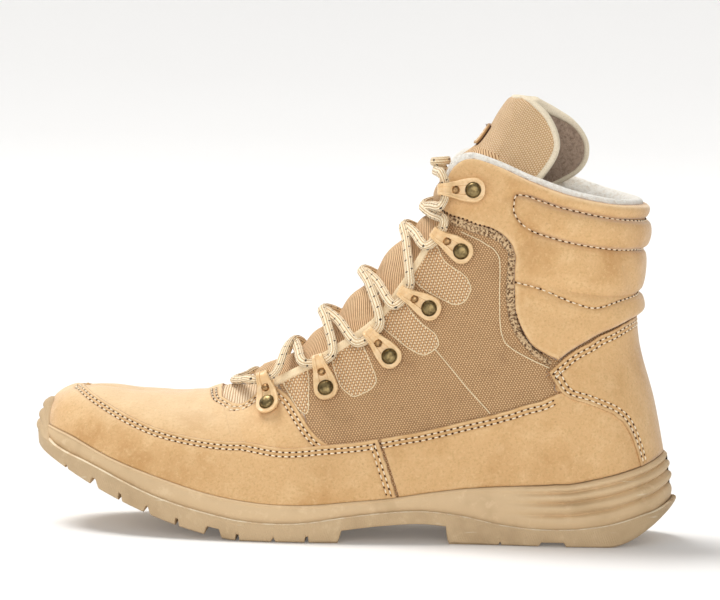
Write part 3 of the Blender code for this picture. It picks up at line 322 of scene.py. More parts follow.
@dataclass(frozen=True)
class Last:
    """The form that the upper is made on, and the sole's outline around it."""

    length: float = 0.302
    ball_width: float = 0.111
    heel_width: float = 0.078
    toe_spring: float = 0.036
    heel_spring: float = 0.0185
    stack: float = 0.0272
    tread: float = 0.008
    vamp_height: float = 0.0685
    collar_height: float = 0.1804
    tongue_rise: float = 0.0256
    throat: float = 0.41
    toe_lift_end: float = 0.33
    heel_lift_start: float = 0.897
    shell_depth: float = 0.0023
    wall: float = 0.0022
    tongue_play: float = 0.0008
    tongue_edge: float = 0.62

    def toe_lift(self, x: Array) -> Array:
        """Height of the ground line that toe spring gives at x."""
        share = x / self.length + 0.5
        return self.toe_spring * np.clip((self.toe_lift_end - share) / self.toe_lift_end, 0, 1.1) ** 1.5

    def ground(self, x: Array) -> Array:
        """Height of the lugs' undersides at x, with toe spring and the bevel of the heel.

        Args:
            x: Places along the boot.

        Returns:
            The heights.
        """
        share = x / self.length + 0.5
        bevel = np.clip((share - self.heel_lift_start) / (1 - self.heel_lift_start), 0, 1.1) ** 1.7
        return self.toe_lift(x) + self.heel_spring * bevel

    def rib(self, x: Array) -> Array:
        """Height of the rib line between tread and sidewall at x."""
        return self.toe_lift(x) + self.tread * spline(RIB, x / self.length + 0.5)[..., 0]

    def section_width(self, s: Array) -> Array:
        """Ball width in front, heel width behind."""
        return self.ball_width + (self.heel_width - self.ball_width) * ease(s, self.throat, 0.74)

    @cached_property
    def feather_rows(self) -> Array:
        """Sigma, x, y, z and four bulges round the whole boot, a stretch repeated at each end.

        Returns:
            The rows, in rising sigma.
        """
        table = np.array(FEATHER)
        s = table[:, 0]
        x = (table[:, 1] - 0.5) * self.length
        z = self.toe_lift(x) + table[:, 4] * self.stack
        bulge = spline(BULGE, s)
        width = self.section_width(s)
        lateral = np.column_stack([s, x, -table[:, 2] * width, z, bulge[:, :4]])
        medial = np.column_stack([-s, x, table[:, 3] * width, z, bulge[:, :4] * bulge[:, 4:]])
        loop = np.vstack([medial[::-1][:-1], lateral])
        before, after = loop[-5:-1].copy(), loop[1:5].copy()
        before[:, 0] -= 2
        after[:, 0] += 2
        return np.vstack([before, loop, after])

    @cached_property
    def top_rows(self) -> tuple[Array, Array, Array]:
        """Sigma, x, y, z of the ridge, and of the throat edge and collar on each side.

        Returns:
            Rows of the ridge, the lateral edge and the medial edge.
        """
        ridge = np.array(RIDGE)
        x = (ridge[:, 1] - 0.5) * self.length
        height = self.toe_lift(x) + ridge[:, 3] * self.vamp_height
        ridge = np.column_stack([ridge[:, 0], x, ridge[:, 2] * self.ball_width, height])
        table = np.array(TOPLINE)
        s, x = table[:, 0], (table[:, 1] - 0.5) * self.length
        start = ridge[-1, 3]
        rise = self.collar_height - start
        sides = [
            np.column_stack([s, x, sign * table[:, k] * self.heel_width, start + table[:, k + 2] * rise])
            for sign, k in ((-1, 2), (1, 3))
        ]
        for side in sides:
            side[0, 2] = ridge[-1, 2]
        past_heel = [side[-5:-1][::-1].copy() for side in sides]
        for side in past_heel:
            side[:, 0] = 2 - side[:, 0]
        return ridge, np.vstack([sides[0], past_heel[1]]), np.vstack([sides[1], past_heel[0]])

    @staticmethod
    def wrapped(sigma: Array | float) -> Array:
        """Sigma brought to the stretch from -1 to 1: past the heel it goes on on the other side."""
        sigma = np.asarray(sigma, float)
        return np.where(sigma > 1, sigma - 2, np.where(sigma < -1, sigma + 2, sigma))

    def top_point(self, sigma: Array | float) -> Array:
        """The upper end of the section at sigma.

        Args:
            sigma: Places round the boot.

        Returns:
            The points.
        """
        sigma = self.wrapped(sigma)
        s = np.abs(sigma)
        ridge, lateral, medial = self.top_rows
        behind = np.maximum(s, self.throat)
        edge = np.where((sigma > 0)[..., None], spline(lateral, behind), spline(medial, behind))
        return np.where((s < self.throat)[..., None], spline(ridge, np.minimum(s, self.throat)), edge)

    def outward(self, sigma: Array | float) -> Array:
        """The horizontal direction out of the feather line at sigma.

        Args:
            sigma: Places round the boot.

        Returns:
            Unit vectors.
        """
        sigma = self.wrapped(sigma)
        step = 1e-3
        along = spline(self.feather_rows, sigma + step) - spline(self.feather_rows, sigma - step)
        return unit(np.stack([along[..., 1], -along[..., 0], 0 * along[..., 0]], -1))

    @staticmethod
    def bulge_at(bulges: Array, v: Array) -> Array:
        """The bulge at v of sections that have these bulges at BULGE_V.

        Args:
            bulges: Their four bulges.
            v: Places up the sections.

        Returns:
            The bulge, as a share of the section.
        """
        keys = np.array(BULGE_V)
        step = np.diff(keys)
        ends = np.zeros(bulges.shape[:-1] + (1,))
        values = np.concatenate([ends, bulges, ends], -1)
        slope = np.diff(values, axis=-1) / step
        tangent = np.empty_like(values)
        inner = slope[..., :-1] * step[1:] + slope[..., 1:] * step[:-1]
        tangent[..., 1:-1] = inner / (step[:-1] + step[1:])
        tangent[..., 0] = 1.5 * slope[..., 0] - 0.5 * tangent[..., 1]
        tangent[..., -1] = 1.5 * slope[..., -1] - 0.5 * tangent[..., -2]
        i = np.clip(np.searchsorted(keys, v, side="right") - 1, 0, len(step) - 1)

        def pick(table: Array, index: Array) -> Array:
            """The entries of a table at these places of its last axis."""
            return np.take_along_axis(table, index[..., None], -1)

        ends = (pick(values, i), pick(values, i + 1), pick(tangent, i), pick(tangent, i + 1))
        return hermite(*ends, step[i], v - keys[i])[..., 0]

    def skin(self, sigma: Array | float, v: Array | float) -> Array:
        """Points of the outer leather surface.

        Args:
            sigma: Places round the boot.
            v: Places up the sections.

        Returns:
            The points.
        """
        sigma, v = np.broadcast_arrays(self.wrapped(sigma), np.asarray(v, float))
        row = spline(self.feather_rows, sigma)
        foot = row[..., :3]
        chord = self.top_point(sigma) - foot
        size = np.linalg.norm(chord, axis=-1, keepdims=True)
        direction = chord / size
        flat = self.outward(sigma)
        out = unit(flat - (flat * direction).sum(-1, keepdims=True) * direction)
        bulge = self.bulge_at(row[..., 3:7], v)[..., None]
        return foot + chord * v[..., None] + out * size * bulge

    def normal(self, sigma: Array | float, v: Array | float) -> Array:
        """Outward normals of the skin. Over the vamp's ridge the two sides share one.

        Args:
            sigma: Places round the boot.
            v: Places up the sections.

        Returns:
            Unit vectors.
        """
        sigma, v = np.broadcast_arrays(np.asarray(sigma, float), np.asarray(v, float))
        step = 2e-3
        low, high = np.clip(v - step, 0, 1), np.clip(v + step, 0, 1)

        def one_side(at: Array) -> Array:
            """Normals from the skin on one side of the ridge."""
            along = self.skin(at + step, v) - self.skin(at - step, v)
            return unit(np.cross(along, self.skin(at, high) - self.skin(at, low)))

        shared = (np.abs(sigma) <= self.throat + 1e-6) & (v > 1 - 1e-6)
        aside = np.where(shared & (np.abs(sigma) < 2 * step), 2 * step, sigma)
        normal = one_side(aside)
        return np.where(shared[..., None], unit(normal + one_side(-aside)), normal)

    def raised(self, sigma: Array | float, v: Array | float, height: Array | float) -> Array:
        """Points at this height over the skin."""
        return self.skin(sigma, v) + self.normal(sigma, v) * np.asarray(height, float)[..., None]

    def aside(self, line: Array, distance: float) -> Array:
        """Moves a line on the skin sideways.

        Args:
            line: Sigma and v of its points.
            distance: How far, along the normal crossed with the line's direction.

        Returns:
            Sigma and v of the moved points.
        """
        points = self.skin(*line.T)
        way = unit(np.cross(self.normal(*line.T), unit(np.gradient(points, axis=0))))
        step = 1e-3
        by_sigma = (self.skin(line[:, 0] + step, line[:, 1]) - points) / step
        by_v = (points - self.skin(line[:, 0], line[:, 1] - step)) / step
        out = line.copy()
        for i, (a, b, way_here) in enumerate(zip(by_sigma, by_v, way)):
            out[i] += np.linalg.lstsq(np.column_stack([a, b]), way_here * distance, rcond=None)[0]
        return out

    # Tongue

    @cached_property
    def tongue_sections(self) -> Array:
        """Five points of each tongue section: lateral wing and edge, ridge, medial edge and wing.

        Returns:
            The points, by section.
        """
        sections = []
        for s, wing, crown, extra in TONGUE_THROAT:
            under = np.full(2, -(self.shell_depth + self.wall + (1 + extra) * self.tongue_play))
            sides = [self.raised(np.array(sign * s), np.array([wing, 1.0]), under) for sign in (1, -1)]
            middle = (sides[0][1] + sides[1][1]) / 2
            ahead = self.top_point(s + 0.01) - self.top_point(s - 0.01)
            up = unit(np.array([-ahead[2], 0.0, ahead[0]]))
            ridge = middle + up * crown * self.ball_width
            sections.append([sides[0][0], sides[0][1], ridge, sides[1][1], sides[1][0]])
        corner = (self.top_point(0.87) + self.top_point(-0.87)) / 2
        for ridge_x, ridge_z, wing_x, wing_z, far_x, far_z, half in TONGUE_TOP:
            ridge = corner + np.array([ridge_x, 0, ridge_z]) * self.tongue_rise
            wings = [
                corner + np.array([x * self.tongue_rise, sign * half * self.heel_width, z * self.tongue_rise])
                for x, z, sign in ((wing_x, wing_z, -1), (far_x, far_z, 1))
            ]
            edges = [ridge + (wing - ridge) * np.array([0.30, 0.86, 0.30]) for wing in wings]
            sections.append([wings[0], edges[0], ridge, edges[1], wings[1]])
        return np.array(sections)

    def tongue(self, row: float, across: Array) -> Array:
        """Points of the tongue's outer face: row is a section's number, across goes from -1 to 1.

        Args:
            row: The tongue's row.
            across: Places across it, from -1 to 1.

        Returns:
            The points.
        """
        sections = self.tongue_sections
        flat = np.column_stack([np.arange(len(sections)), sections.reshape(len(sections), -1)])
        five = spline(flat, np.asarray(row, float)).reshape(5, 3)
        places = np.array([[-1.0], [-self.tongue_edge], [0.0], [self.tongue_edge], [1.0]])
        return spline(np.column_stack([places, five]), np.asarray(across, float))

    def tongue_row(self, s: float) -> float:
        """The tongue's row that lies in the throat at sigma s."""
        keys = np.array([row[0] for row in TONGUE_THROAT])
        return float(np.interp(s, keys, np.arange(len(keys))))

    def over_tongue(self, row: float, height: float) -> Array:
        """A point at this height over the tongue's ridge, in this row of the tongue.

        Args:
            row: The tongue's row.
            height: Height over the surface.

        Returns:
            The point.
        """
        here = self.tongue(row, np.array([0.0]))[0]
        ahead = self.tongue(row + 0.1, np.array([0.0]))[0] - self.tongue(row - 0.1, np.array([0.0]))[0]
        return here + unit(np.array([-ahead[2], 0.0, ahead[0]])) * height

    # Sole

    def feather(self, sigma: Array | float) -> Array:
        """Points of the feather line."""
        return spline(self.feather_rows, sigma)[..., :3]

    def sole_edge(self, sigma: Array | float) -> Array:
        """Points of the sole's widest outline, in plan, with the feather line's height."""
        flare = spline(FLARE, np.abs(sigma))
        return self.feather(sigma) + self.outward(sigma) * self.heel_width * flare

    def sigma_at(self, share: Array | float) -> Array:
        """The sigma at which the sole's outline passes this share of its length."""
        s = np.linspace(0, 1, 2001)
        return np.interp((np.asarray(share) - 0.5) * self.length, self.sole_edge(s)[:, 0], s)


LAST = Last()


# Meshes


def quads(index: Array) -> Array:
    """The four-sided faces between rows and columns of point numbers."""
    return np.stack([index[:-1, :-1], index[1:, :-1], index[1:, 1:], index[:-1, 1:]], -1).reshape(-1, 4)


def strip_uv(run: Array, turn: Array) -> Array:
    """Cloth coordinates of a band: turn goes across it, run goes along it."""
    return np.stack(np.broadcast_arrays(turn[None, :], run[:, None]), -1)


@dataclass
class Shape:
    """A mesh being made from grids, tubes and copies, in the last's own place."""

    points: list[Array] = field(default_factory=list)
    faces: list[tuple[int, ...]] = field(default_factory=list)
    slots: list[int] = field(default_factory=list)
    uvs: list[Array] = field(default_factory=list)
    fields: list[dict[str, Array]] = field(default_factory=list)
    count: int = 0

    def add(
        self,
        points: Array,
        faces: Sequence[tuple[int, ...]],
        slot: int = 0,
        uv: Array | None = None,
        **fields: Array,
    ) -> None:
        """Adds points and faces.

        Args:
            points: The points.
            faces: Faces on them, numbered from 0.
            slot: Material slot of the faces.
            uv: Cloth coordinates of the points, in metres.
            **fields: Named numbers of the points, for the materials.
        """
        points = np.asarray(points, float).reshape(-1, 3)
        self.points.append(points)
        self.faces += [tuple(i + self.count for i in face) for face in faces]
        self.slots += [slot] * len(faces)
        self.uvs.append(np.zeros((len(points), 2)) if uv is None else np.asarray(uv, float).reshape(-1, 2))
        self.fields.append({name: np.asarray(value, float).reshape(-1) for name, value in fields.items()})
        self.count += len(points)

    def grid(self, points: Array, slot: int = 0, uv: Array | None = None, **fields: Array) -> None:
        """Adds a sheet over rows and columns of points.

        Args:
            points: Points by row and column.
            slot: Material slot of the faces.
            uv: Cloth coordinates of the points.
            **fields: Named numbers of the points.
        """
        rows, columns = points.shape[:2]
        index = np.arange(rows * columns).reshape(rows, columns)
        faces = quads(index)
        self.add(points, faces.tolist(), slot, uv, **fields)

    def loft(self, rings: Array, slot: int = 0, closed: bool = False, uv: Array | None = None) -> None:
        """Adds a skin over rings of points, with flat ends unless the last ring meets the first.

        Args:
            rings: The rings, one after another.
            slot: Material slot of the faces.
            closed: Whether the last ring meets the first.
            uv: Cloth coordinates of the points.
        """
        rings = np.asarray(rings, float)
        count, size = rings.shape[:2]
        index = np.arange(count * size).reshape(count, size)
        index = np.concatenate([index, index[:, :1]], axis=1)
        if closed:
            index = np.concatenate([index, index[:1]])
        faces = quads(index)
        caps = [] if closed else [tuple(range(size)), tuple(range((count - 1) * size, count * size))]
        self.add(rings, faces.tolist() + caps, slot, uv)

    def tube(
        self,
        path: Array,
        section: Array,
        up: Array | None = None,
        closed: bool = False,
        scale: Array | None = None,
    ) -> None:
        """Adds a tube.

        Args:
            path: Points of its middle line.
            section: Its outline, sideways and upwards.
            up: Upward directions along the path, or none to carry one along.
            closed: Whether its end meets its start.
            scale: Factors on the section along the path.
        """
        path = np.asarray(path, float)
        if closed:
            along = unit(np.roll(path, -1, axis=0) - np.roll(path, 1, axis=0))
        else:
            along = unit(np.gradient(path, axis=0))
        if up is None:
            ups = [unit(np.cross(along[0], np.cross([0.13, 0.21, 1.0], along[0])))]
            for way in along[1:]:
                ups.append(unit(ups[-1] - way * (ups[-1] @ way)))
            up = np.array(ups)
        side = unit(np.cross(along, up))
        up = np.cross(side, along)
        scale = np.ones(len(path)) if scale is None else scale
        rings = path[:, None] + (
            side[:, None] * section[None, :, :1] + up[:, None] * section[None, :, 1:]
        ) * scale[:, None, None]
        run = run_along(path)
        turn = np.linspace(0, 1, len(section), endpoint=False)
        uv = strip_uv(run, turn)
        self.loft(rings, closed=closed, uv=uv)

    def make(
        self,
        name: str,
        materials: Sequence[bpy.types.Material],
        wall: float = 0.0,
        inner: int = 0,
        mend: bool = False,
        weld: float = 2e-6,
        angle: float = 50.0,
    ) -> bpy.types.Object:
        """Makes the object.

        Args:
            name: Piece name.
            materials: Materials of its slots.
            wall: Thickness added behind its faces.
            inner: Steps from a face's slot to the slot of its back.
            mend: Whether to turn all faces outwards.
            weld: Distance within which points are made one.
            angle: Smooth shading up to this angle between faces, in degrees.

        Returns:
            The object, at the origin, with its place in its mesh.
        """
        points = np.concatenate(self.points) + SHIFT
        _, first, index = np.unique(
            np.round(points / weld).astype(np.int64), axis=0, return_index=True, return_inverse=True
        )
        index = index.reshape(-1)
        faces, corners, slots = [], [], []
        for face, slot in zip(self.faces, self.slots):
            new, old = [], []
            for corner in face:
                point = int(index[corner])
                if point not in new:
                    new.append(point)
                    old.append(corner)
            if len(new) > 2:
                faces.append(new)
                corners += old
                slots.append(slot)
        mesh = bpy.data.meshes.new(name)
        mesh.from_pydata(points[first].tolist(), [], faces)
        for surface in materials:
            mesh.materials.append(surface)
        mesh.polygons.foreach_set("material_index", slots)
        layer = mesh.uv_layers.new(name="cloth")
        layer.data.foreach_set("uv", np.concatenate(self.uvs)[corners].astype(np.float32).ravel())
        for key in sorted({key for part in self.fields for key in part}):
            values = [part.get(key, np.full(len(p), FAR)) for part, p in zip(self.fields, self.points)]
            data = mesh.attributes.new(key, "FLOAT", "POINT")
            data.data.foreach_set("value", np.concatenate(values)[first].astype(np.float32))
        if mend:
            build = bmesh.new()
            build.from_mesh(mesh)
            bmesh.ops.recalc_face_normals(build, faces=build.faces)
            build.to_mesh(mesh)
            build.free()
        mesh.shade_smooth()
        mesh.set_sharp_from_angle(angle=math.radians(angle))
        mesh.validate()
        obj = bpy.data.objects.new(name, mesh)
        bpy.context.scene.collection.objects.link(obj)
        if wall:
            solid = obj.modifiers.new("Wall", "SOLIDIFY")
            solid.thickness = wall
            solid.offset = -1.0
            solid.material_offset = inner
        return obj


def oval(width: float, height: float, count: int = 12, power: float = 1.0) -> Array:
    """An oval outline, squarer for a power below 1.

    Args:
        width: Its width.
        height: Its height.
        count: Number of points.
        power: 1 for an oval, less for a squarer one.

    Returns:
        The outline's points.
    """
    turn = np.linspace(0, math.tau, count, endpoint=False)
    shape = np.column_stack([np.cos(turn), np.sin(turn)])
    shape = np.sign(shape) * np.abs(shape) ** power
    return shape * np.array([width, height]) / 2


def tree_of(points: Array) -> KDTree:
    """A tree that finds the nearest of these points.

    Args:
        points: The points.

    Returns:
        The tree.
    """
    tree = KDTree(len(points))
    for i, point in enumerate(points):
        tree.insert(point, i)
    tree.balance()
    return tree


def distances(points: Array, lines: Sequence[Array]) -> Array:
    """Distance of each point to the nearest of some dense lines of points.

    Args:
        points: Points, in any shape.
        lines: The lines.

    Returns:
        The distances, no more than FAR.
    """
    flat = np.asarray(points, float).reshape(-1, 3)
    if not lines:
        return np.full(np.shape(points)[:-1], FAR)
    tree = tree_of(np.concatenate(lines))
    found = np.array([tree.find(point)[2] for point in flat])
    return np.minimum(found, FAR).reshape(np.shape(points)[:-1])


def dress(obj: bpy.types.Object, slot: str, *nodes: str) -> bpy.types.Object:
    """Puts a finished piece on the boot.

    Args:
        obj: The piece.
        slot: The record's material slot; not used.
        *nodes: CAD nodes that it stands for.

    Returns:
        The piece.
    """
    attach(obj, "root")
    if nodes:
        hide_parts(*nodes)
    LOG.info("%s: %d faces", obj.name, len(obj.data.polygons))
    return obj


# Shaders


class Term:
    """A number that changes over a surface. Its operators add Math nodes."""

    def __init__(self, shader: "Shader", socket: bpy.types.NodeSocket) -> None:
        """Keeps the socket that carries the number."""
        self.shader = shader
        self.socket = socket

    def math(self, operation: str, *others: "Term | float") -> "Term":
        """The result of a Math node on this number and others."""
        inputs = dict(enumerate([self, *others]))
        return self.shader.term("ShaderNodeMath", {"operation": operation}, inputs)

    def __add__(self, other: "Term | float") -> "Term":
        """The sum."""
        return self.math("ADD", other)

    __radd__ = __add__

    def __mul__(self, other: "Term | float") -> "Term":
        """The product."""
        return self.math("MULTIPLY", other)

    def __sub__(self, other: "Term | float") -> "Term":
        """The difference."""
        return self.math("SUBTRACT", other)

    def __rsub__(self, other: float) -> "Term":
        """The difference from a number."""
        return self * -1.0 + other

    def __truediv__(self, other: "Term | float") -> "Term":
        """The quotient."""
        return self.math("DIVIDE", other)

    def __pow__(self, other: float) -> "Term":
        """The power."""
        return self.math("POWER", other)

    def __abs__(self) -> "Term":
        """The size."""
        return self.math("ABSOLUTE")

    def sine(self) -> "Term":
        """The sine."""
        return self.math("SINE")

    def step(self, low: float, high: float) -> "Term":
        """0 at low, 1 at high, smooth between.

        Args:
            low: Where it starts.
            high: Where it ends.

        Returns:
            The term.
        """
        settings = {"interpolation_type": "SMOOTHSTEP"}
        inputs = {"Value": self, "From Min": low, "From Max": high}
        return self.shader.term("ShaderNodeMapRange", settings, inputs, "Result")


class Shader:
    """A material and the nodes that dress it."""

    def __init__(self, name: str) -> None:
        """Makes the material, with one Principled shader.

        Args:
            name: The material's name.
        """
        self.material = bpy.data.materials.new(name)
        self.material.use_nodes = True
        self.tree = self.material.node_tree
        self.surface = self.tree.nodes["Principled BSDF"]
        self.place = self.node("ShaderNodeTexCoord").outputs["Object"]

    def node(self, kind: str, settings: dict | None = None, inputs: dict | None = None) -> bpy.types.Node:
        """Adds a node.

        Args:
            kind: The node's type.
            settings: Its settings, set first. A list under stops sets a ramp's positions and colours.
            inputs: Values or links of its sockets, by name or number.

        Returns:
            The node.
        """
        made = self.tree.nodes.new(kind)
        for key, value in (settings or {}).items():
            if key == "stops":
                elements = made.color_ramp.elements
                while len(elements) < len(value):
                    elements.new(0.5)
                for element, (at, colour) in zip(elements, value):
                    element.position = at
                    element.color = (*colour, 1.0)
            else:
                setattr(made, key, value)
        for key, value in (inputs or {}).items():
            self.put(made.inputs[key], value)
        return made

    def put(self, socket: bpy.types.NodeSocket, value: object) -> None:
        """Sets or links one socket.

        Args:
            socket: The socket.
            value: A number, colour, term or socket.
        """
        if isinstance(value, Term):
            self.tree.links.new(value.socket, socket)
        elif isinstance(value, bpy.types.NodeSocket):
            self.tree.links.new(value, socket)
        elif isinstance(value, tuple) and len(value) == 3 and socket.type == "RGBA":
            socket.default_value = (*value, 1.0)
        else:
            socket.default_value = value

    def term(self, kind: str, settings: dict, inputs: dict, output: str | int = 0) -> Term:
        """A node's output as a number."""
        return Term(self, self.node(kind, settings, inputs).outputs[output])

    def noise(self, size: float, detail: float = 3.0, rough: float = 0.55, at: object = None) -> Term:
        """Noise from 0 to 1 with features of this size."""
        inputs = {"Vector": at or self.place, "Scale": 1 / size, "Detail": detail, "Roughness": rough}
        return self.term("ShaderNodeTexNoise", {}, inputs, "Fac")

    def cells(self, size: float) -> Term:
        """Distance to the middle of cells of this size."""
        inputs = {"Vector": self.place, "Scale": 1 / size}
        return self.term("ShaderNodeTexVoronoi", {}, inputs, "Distance")

    def field(self, name: str) -> Term:
        """A named number of the mesh."""
        return self.term("ShaderNodeAttribute", {"attribute_name": name}, {}, "Fac")

    def cloth(self) -> tuple[Term, Term]:
        """The cloth coordinates of the mesh."""
        return self.split(self.node("ShaderNodeUVMap", {"uv_map": "cloth"}).outputs["UV"])[:2]

    def split(self, vector: object) -> tuple[Term, Term, Term]:
        """The three numbers of a vector."""
        outputs = self.node("ShaderNodeSeparateXYZ", {}, {0: vector}).outputs
        return Term(self, outputs[0]), Term(self, outputs[1]), Term(self, outputs[2])

    def join(self, x: Term | float, y: Term | float, z: Term | float = 0.0) -> bpy.types.NodeSocket:
        """A vector of three numbers."""
        return self.node("ShaderNodeCombineXYZ", {}, {0: x, 1: y, 2: z}).outputs[0]

    def blend(self, first: object, second: object, share: Term | float) -> bpy.types.NodeSocket:
        """A colour between two, by the share of the second."""
        settings = {"data_type": "RGBA"}
        return self.node("ShaderNodeMix", settings, {0: share, 6: first, 7: second}).outputs[2]

    def bump(self, *layers: tuple[Term, float]) -> None:
        """Roughens the surface by the sum of layers, each with its depth in metres.

        Args:
            *layers: Heights and their depths.
        """
        total: Term | None = None
        for height, depth in layers:
            part = height * (depth / MM)
            total = part if total is None else total + part
        inputs = {"Height": total, "Distance": MM, "Strength": 1.0}
        self.put(self.surface.inputs["Normal"], self.node("ShaderNodeBump", {}, inputs).outputs["Normal"])

    def finish(self, colour: object, rough: Term | float, **others: object) -> bpy.types.Material:
        """Sets colour, roughness and the shader's own constants, and gives the material.

        Args:
            colour: The base colour.
            rough: The roughness.
            **others: Other inputs, with underscores for spaces.

        Returns:
            The material.
        """
        self.put(self.surface.inputs["Base Color"], colour)
        self.put(self.surface.inputs["Roughness"], rough)
        for key, value in others.items():
            self.put(self.surface.inputs[key.replace("_", " ")], value)
        return self.material


def srgb(red: int, green: int, blue: int) -> Colour:
    """A colour given as it shows on a screen.

    Args:
        red: Red, 0 to 255.
        green: Green, 0 to 255.
        blue: Blue, 0 to 255.

    Returns:
        The colour in linear light.
    """

    def linear(value: int) -> float:
        """One channel in linear light."""
        share = value / 255
        return share / 12.92 if share <= 0.04045 else ((share + 0.055) / 1.055) ** 2.4

    return linear(red), linear(green), linear(blue)


@dataclass(frozen=True)
class Nubuck:
    """Sanded leather: soft nap over fine grain, paler where worn, darker at cut edges, with painted light on
    faces that look up and painted shade in its pressed seam grooves.
    """

    name: str = "honey_nubuck"
    base: Colour = srgb(217, 177, 127)
    light: Colour = srgb(235, 203, 156)
    shade: Colour = srgb(197, 152, 100)
    edge: Colour = srgb(176, 130, 82)
    deep_nap: Colour = srgb(186, 148, 92)
    speck: Colour = srgb(150, 105, 62)
    painted_top_light: Colour = srgb(252, 230, 192)
    painted_top_light_share: float = 0.38

    def material(self) -> bpy.types.Material:
        """Builds the material.

        Returns:
            The material.
        """
        s = Shader(self.name)
        cloud = s.noise(0.030, 3.0)
        patch = s.noise(0.009, 4.0, 0.6)
        nap = s.noise(0.0011, 4.0, 0.65)
        grain = s.noise(0.00035, 2.0)
        colour = s.blend(self.shade, self.base, cloud.step(0.25, 0.55))
        colour = s.blend(colour, self.light, patch.step(0.46, 0.74) * 0.35)
        colour = s.blend(colour, self.light, s.noise(0.0016, 4.0, 0.7).step(0.50, 0.70) * 0.35)
        colour = s.blend(colour, self.deep_nap, nap.step(0.46, 0.72) * 0.50)
        specks = s.cells(0.0045).step(0.16, 0.06) * s.noise(0.013).step(0.52, 0.62)
        colour = s.blend(colour, self.speck, specks * 0.25)
        # Painted light: faces that look up are blended towards a pale colour, as if lit from above
        up = s.split(s.node("ShaderNodeNewGeometry").outputs["Normal"])[2]
        colour = s.blend(colour, self.painted_top_light, up.step(0.45, 1.0) * self.painted_top_light_share)
        edge = s.field("edge")
        seam = s.field("seam")
        colour = s.blend(colour, self.edge, edge.step(0.0008, 0.0002) * 0.8)
        worn = edge.step(0.0030, 0.0009) * edge.step(0.0002, 0.0008) * patch.step(0.35, 0.6)
        colour = s.blend(colour, self.light, worn * 0.5)
        # Painted shade: the pressed seam grooves are drawn darker
        colour = s.blend(colour, self.shade, seam.step(0.0016, 0.0002) * 0.55)
        groove = seam.step(0.0, 0.0014)
        s.bump((nap, 0.00022), (grain, 0.00010), (patch, 0.00045), (groove, 0.00040))
        rough = 0.80 + nap * 0.15 - worn * 0.08
        return s.finish(colour, rough, Sheen_Weight=0.45, Sheen_Roughness=0.4, Specular_IOR_Level=0.25)


class Zone(Enum):
    """What a woven cloth is used for."""

    QUARTER = "quarter_weave"
    TONGUE = "tongue_weave"


@dataclass(frozen=True)
class Weave:
    """Coarse basket weave of round yarns, with a finer, paler mesh inside the marked tabs. Its colour follows
    the yarn height, with painted shade in the gaps and painted highlights on the crowns.
    """

    zone: Zone
    pitch: tuple[float, float] = (0.00064, 0.00098)
    tilt: float = 0.14
    hollow: Colour = srgb(112, 74, 46)
    pale_yarn_highlight: Colour = srgb(250, 230, 196)
    base: Colour = srgb(220, 173, 122)
    light: Colour = srgb(255, 225, 178)
    shade: Colour = srgb(124, 82, 50)

    @staticmethod
    def threads(u: Term, v: Term) -> tuple[Term, Term]:
        """Height of a plain weave and which yarn is on top, in units of one yarn.

        Args:
            u: Yarns across.
            v: Yarns along.

        Returns:
            The height, and 1 where the first yarn is on top.
        """
        across, along = (u * math.pi).sine(), (v * math.pi).sine()
        over = (across * along).math("GREATER_THAN", 0.0)
        first = abs(across) ** 0.6 * (abs(along) * 0.6 + 0.4)
        second = abs(along) ** 0.6 * (abs(across) * 0.6 + 0.4)
        return first * over + second * (1 - over), over

    def material(self) -> bpy.types.Material:
        """Builds the material.

        Returns:
            The material.
        """
        s = Shader(self.zone.value)
        if self.zone is Zone.QUARTER:
            x, _, z = s.split(s.place)
        else:
            x, z = s.cloth()
        c, t = math.cos(self.tilt), math.sin(self.tilt)
        wave = s.noise(0.006, 1.0) * 0.5
        u, v = (x * c + z * t) / self.pitch[0] + wave, (z * c - x * t) / self.pitch[1] + wave
        coarse, over = self.threads(u, v)
        tab = s.field("tab").step(-0.0002, 0.0002)
        fine, fine_over = self.threads(u * 0.72 + v * 0.12, v * 0.78)
        yarn = s.noise(0.35, 2.0, 0.5, s.join(u.math("FLOOR"), v.math("FLOOR")))
        cloud = s.noise(0.012, 3.0)
        # Painted shade in the gaps between yarns and a painted highlight on the crowns of the top yarns, over
        # the yarns' own two tones
        colour = s.blend(self.shade, self.base, coarse.step(0.10, 0.5) * (over * 0.35 + 0.65))
        colour = s.blend(colour, self.light, coarse.step(0.45, 0.9) * over * 0.75)
        colour = s.blend(colour, self.shade, (yarn.step(0.55, 0.75) + cloud.step(0.5, 0.8)) * 0.22)
        # The tabs' open mesh: the dark hollow colour is painted shade in its gaps, the pale colour a painted
        # highlight on the top yarns' crowns
        open_mesh = s.blend(self.hollow, self.base, fine.step(0.12, 0.5))
        open_mesh = s.blend(open_mesh, self.pale_yarn_highlight, fine.step(0.4, 0.8) * fine_over)
        colour = s.blend(colour, open_mesh, tab)
        fibre = s.noise(0.00025, 2.0)
        height = coarse * (1 - tab) + fine * tab
        s.bump((height, 0.00042), (fibre, 0.00006))
        return s.finish(colour, 0.72 - over * 0.12, Sheen_Weight=0.08, Specular_IOR_Level=0.3)


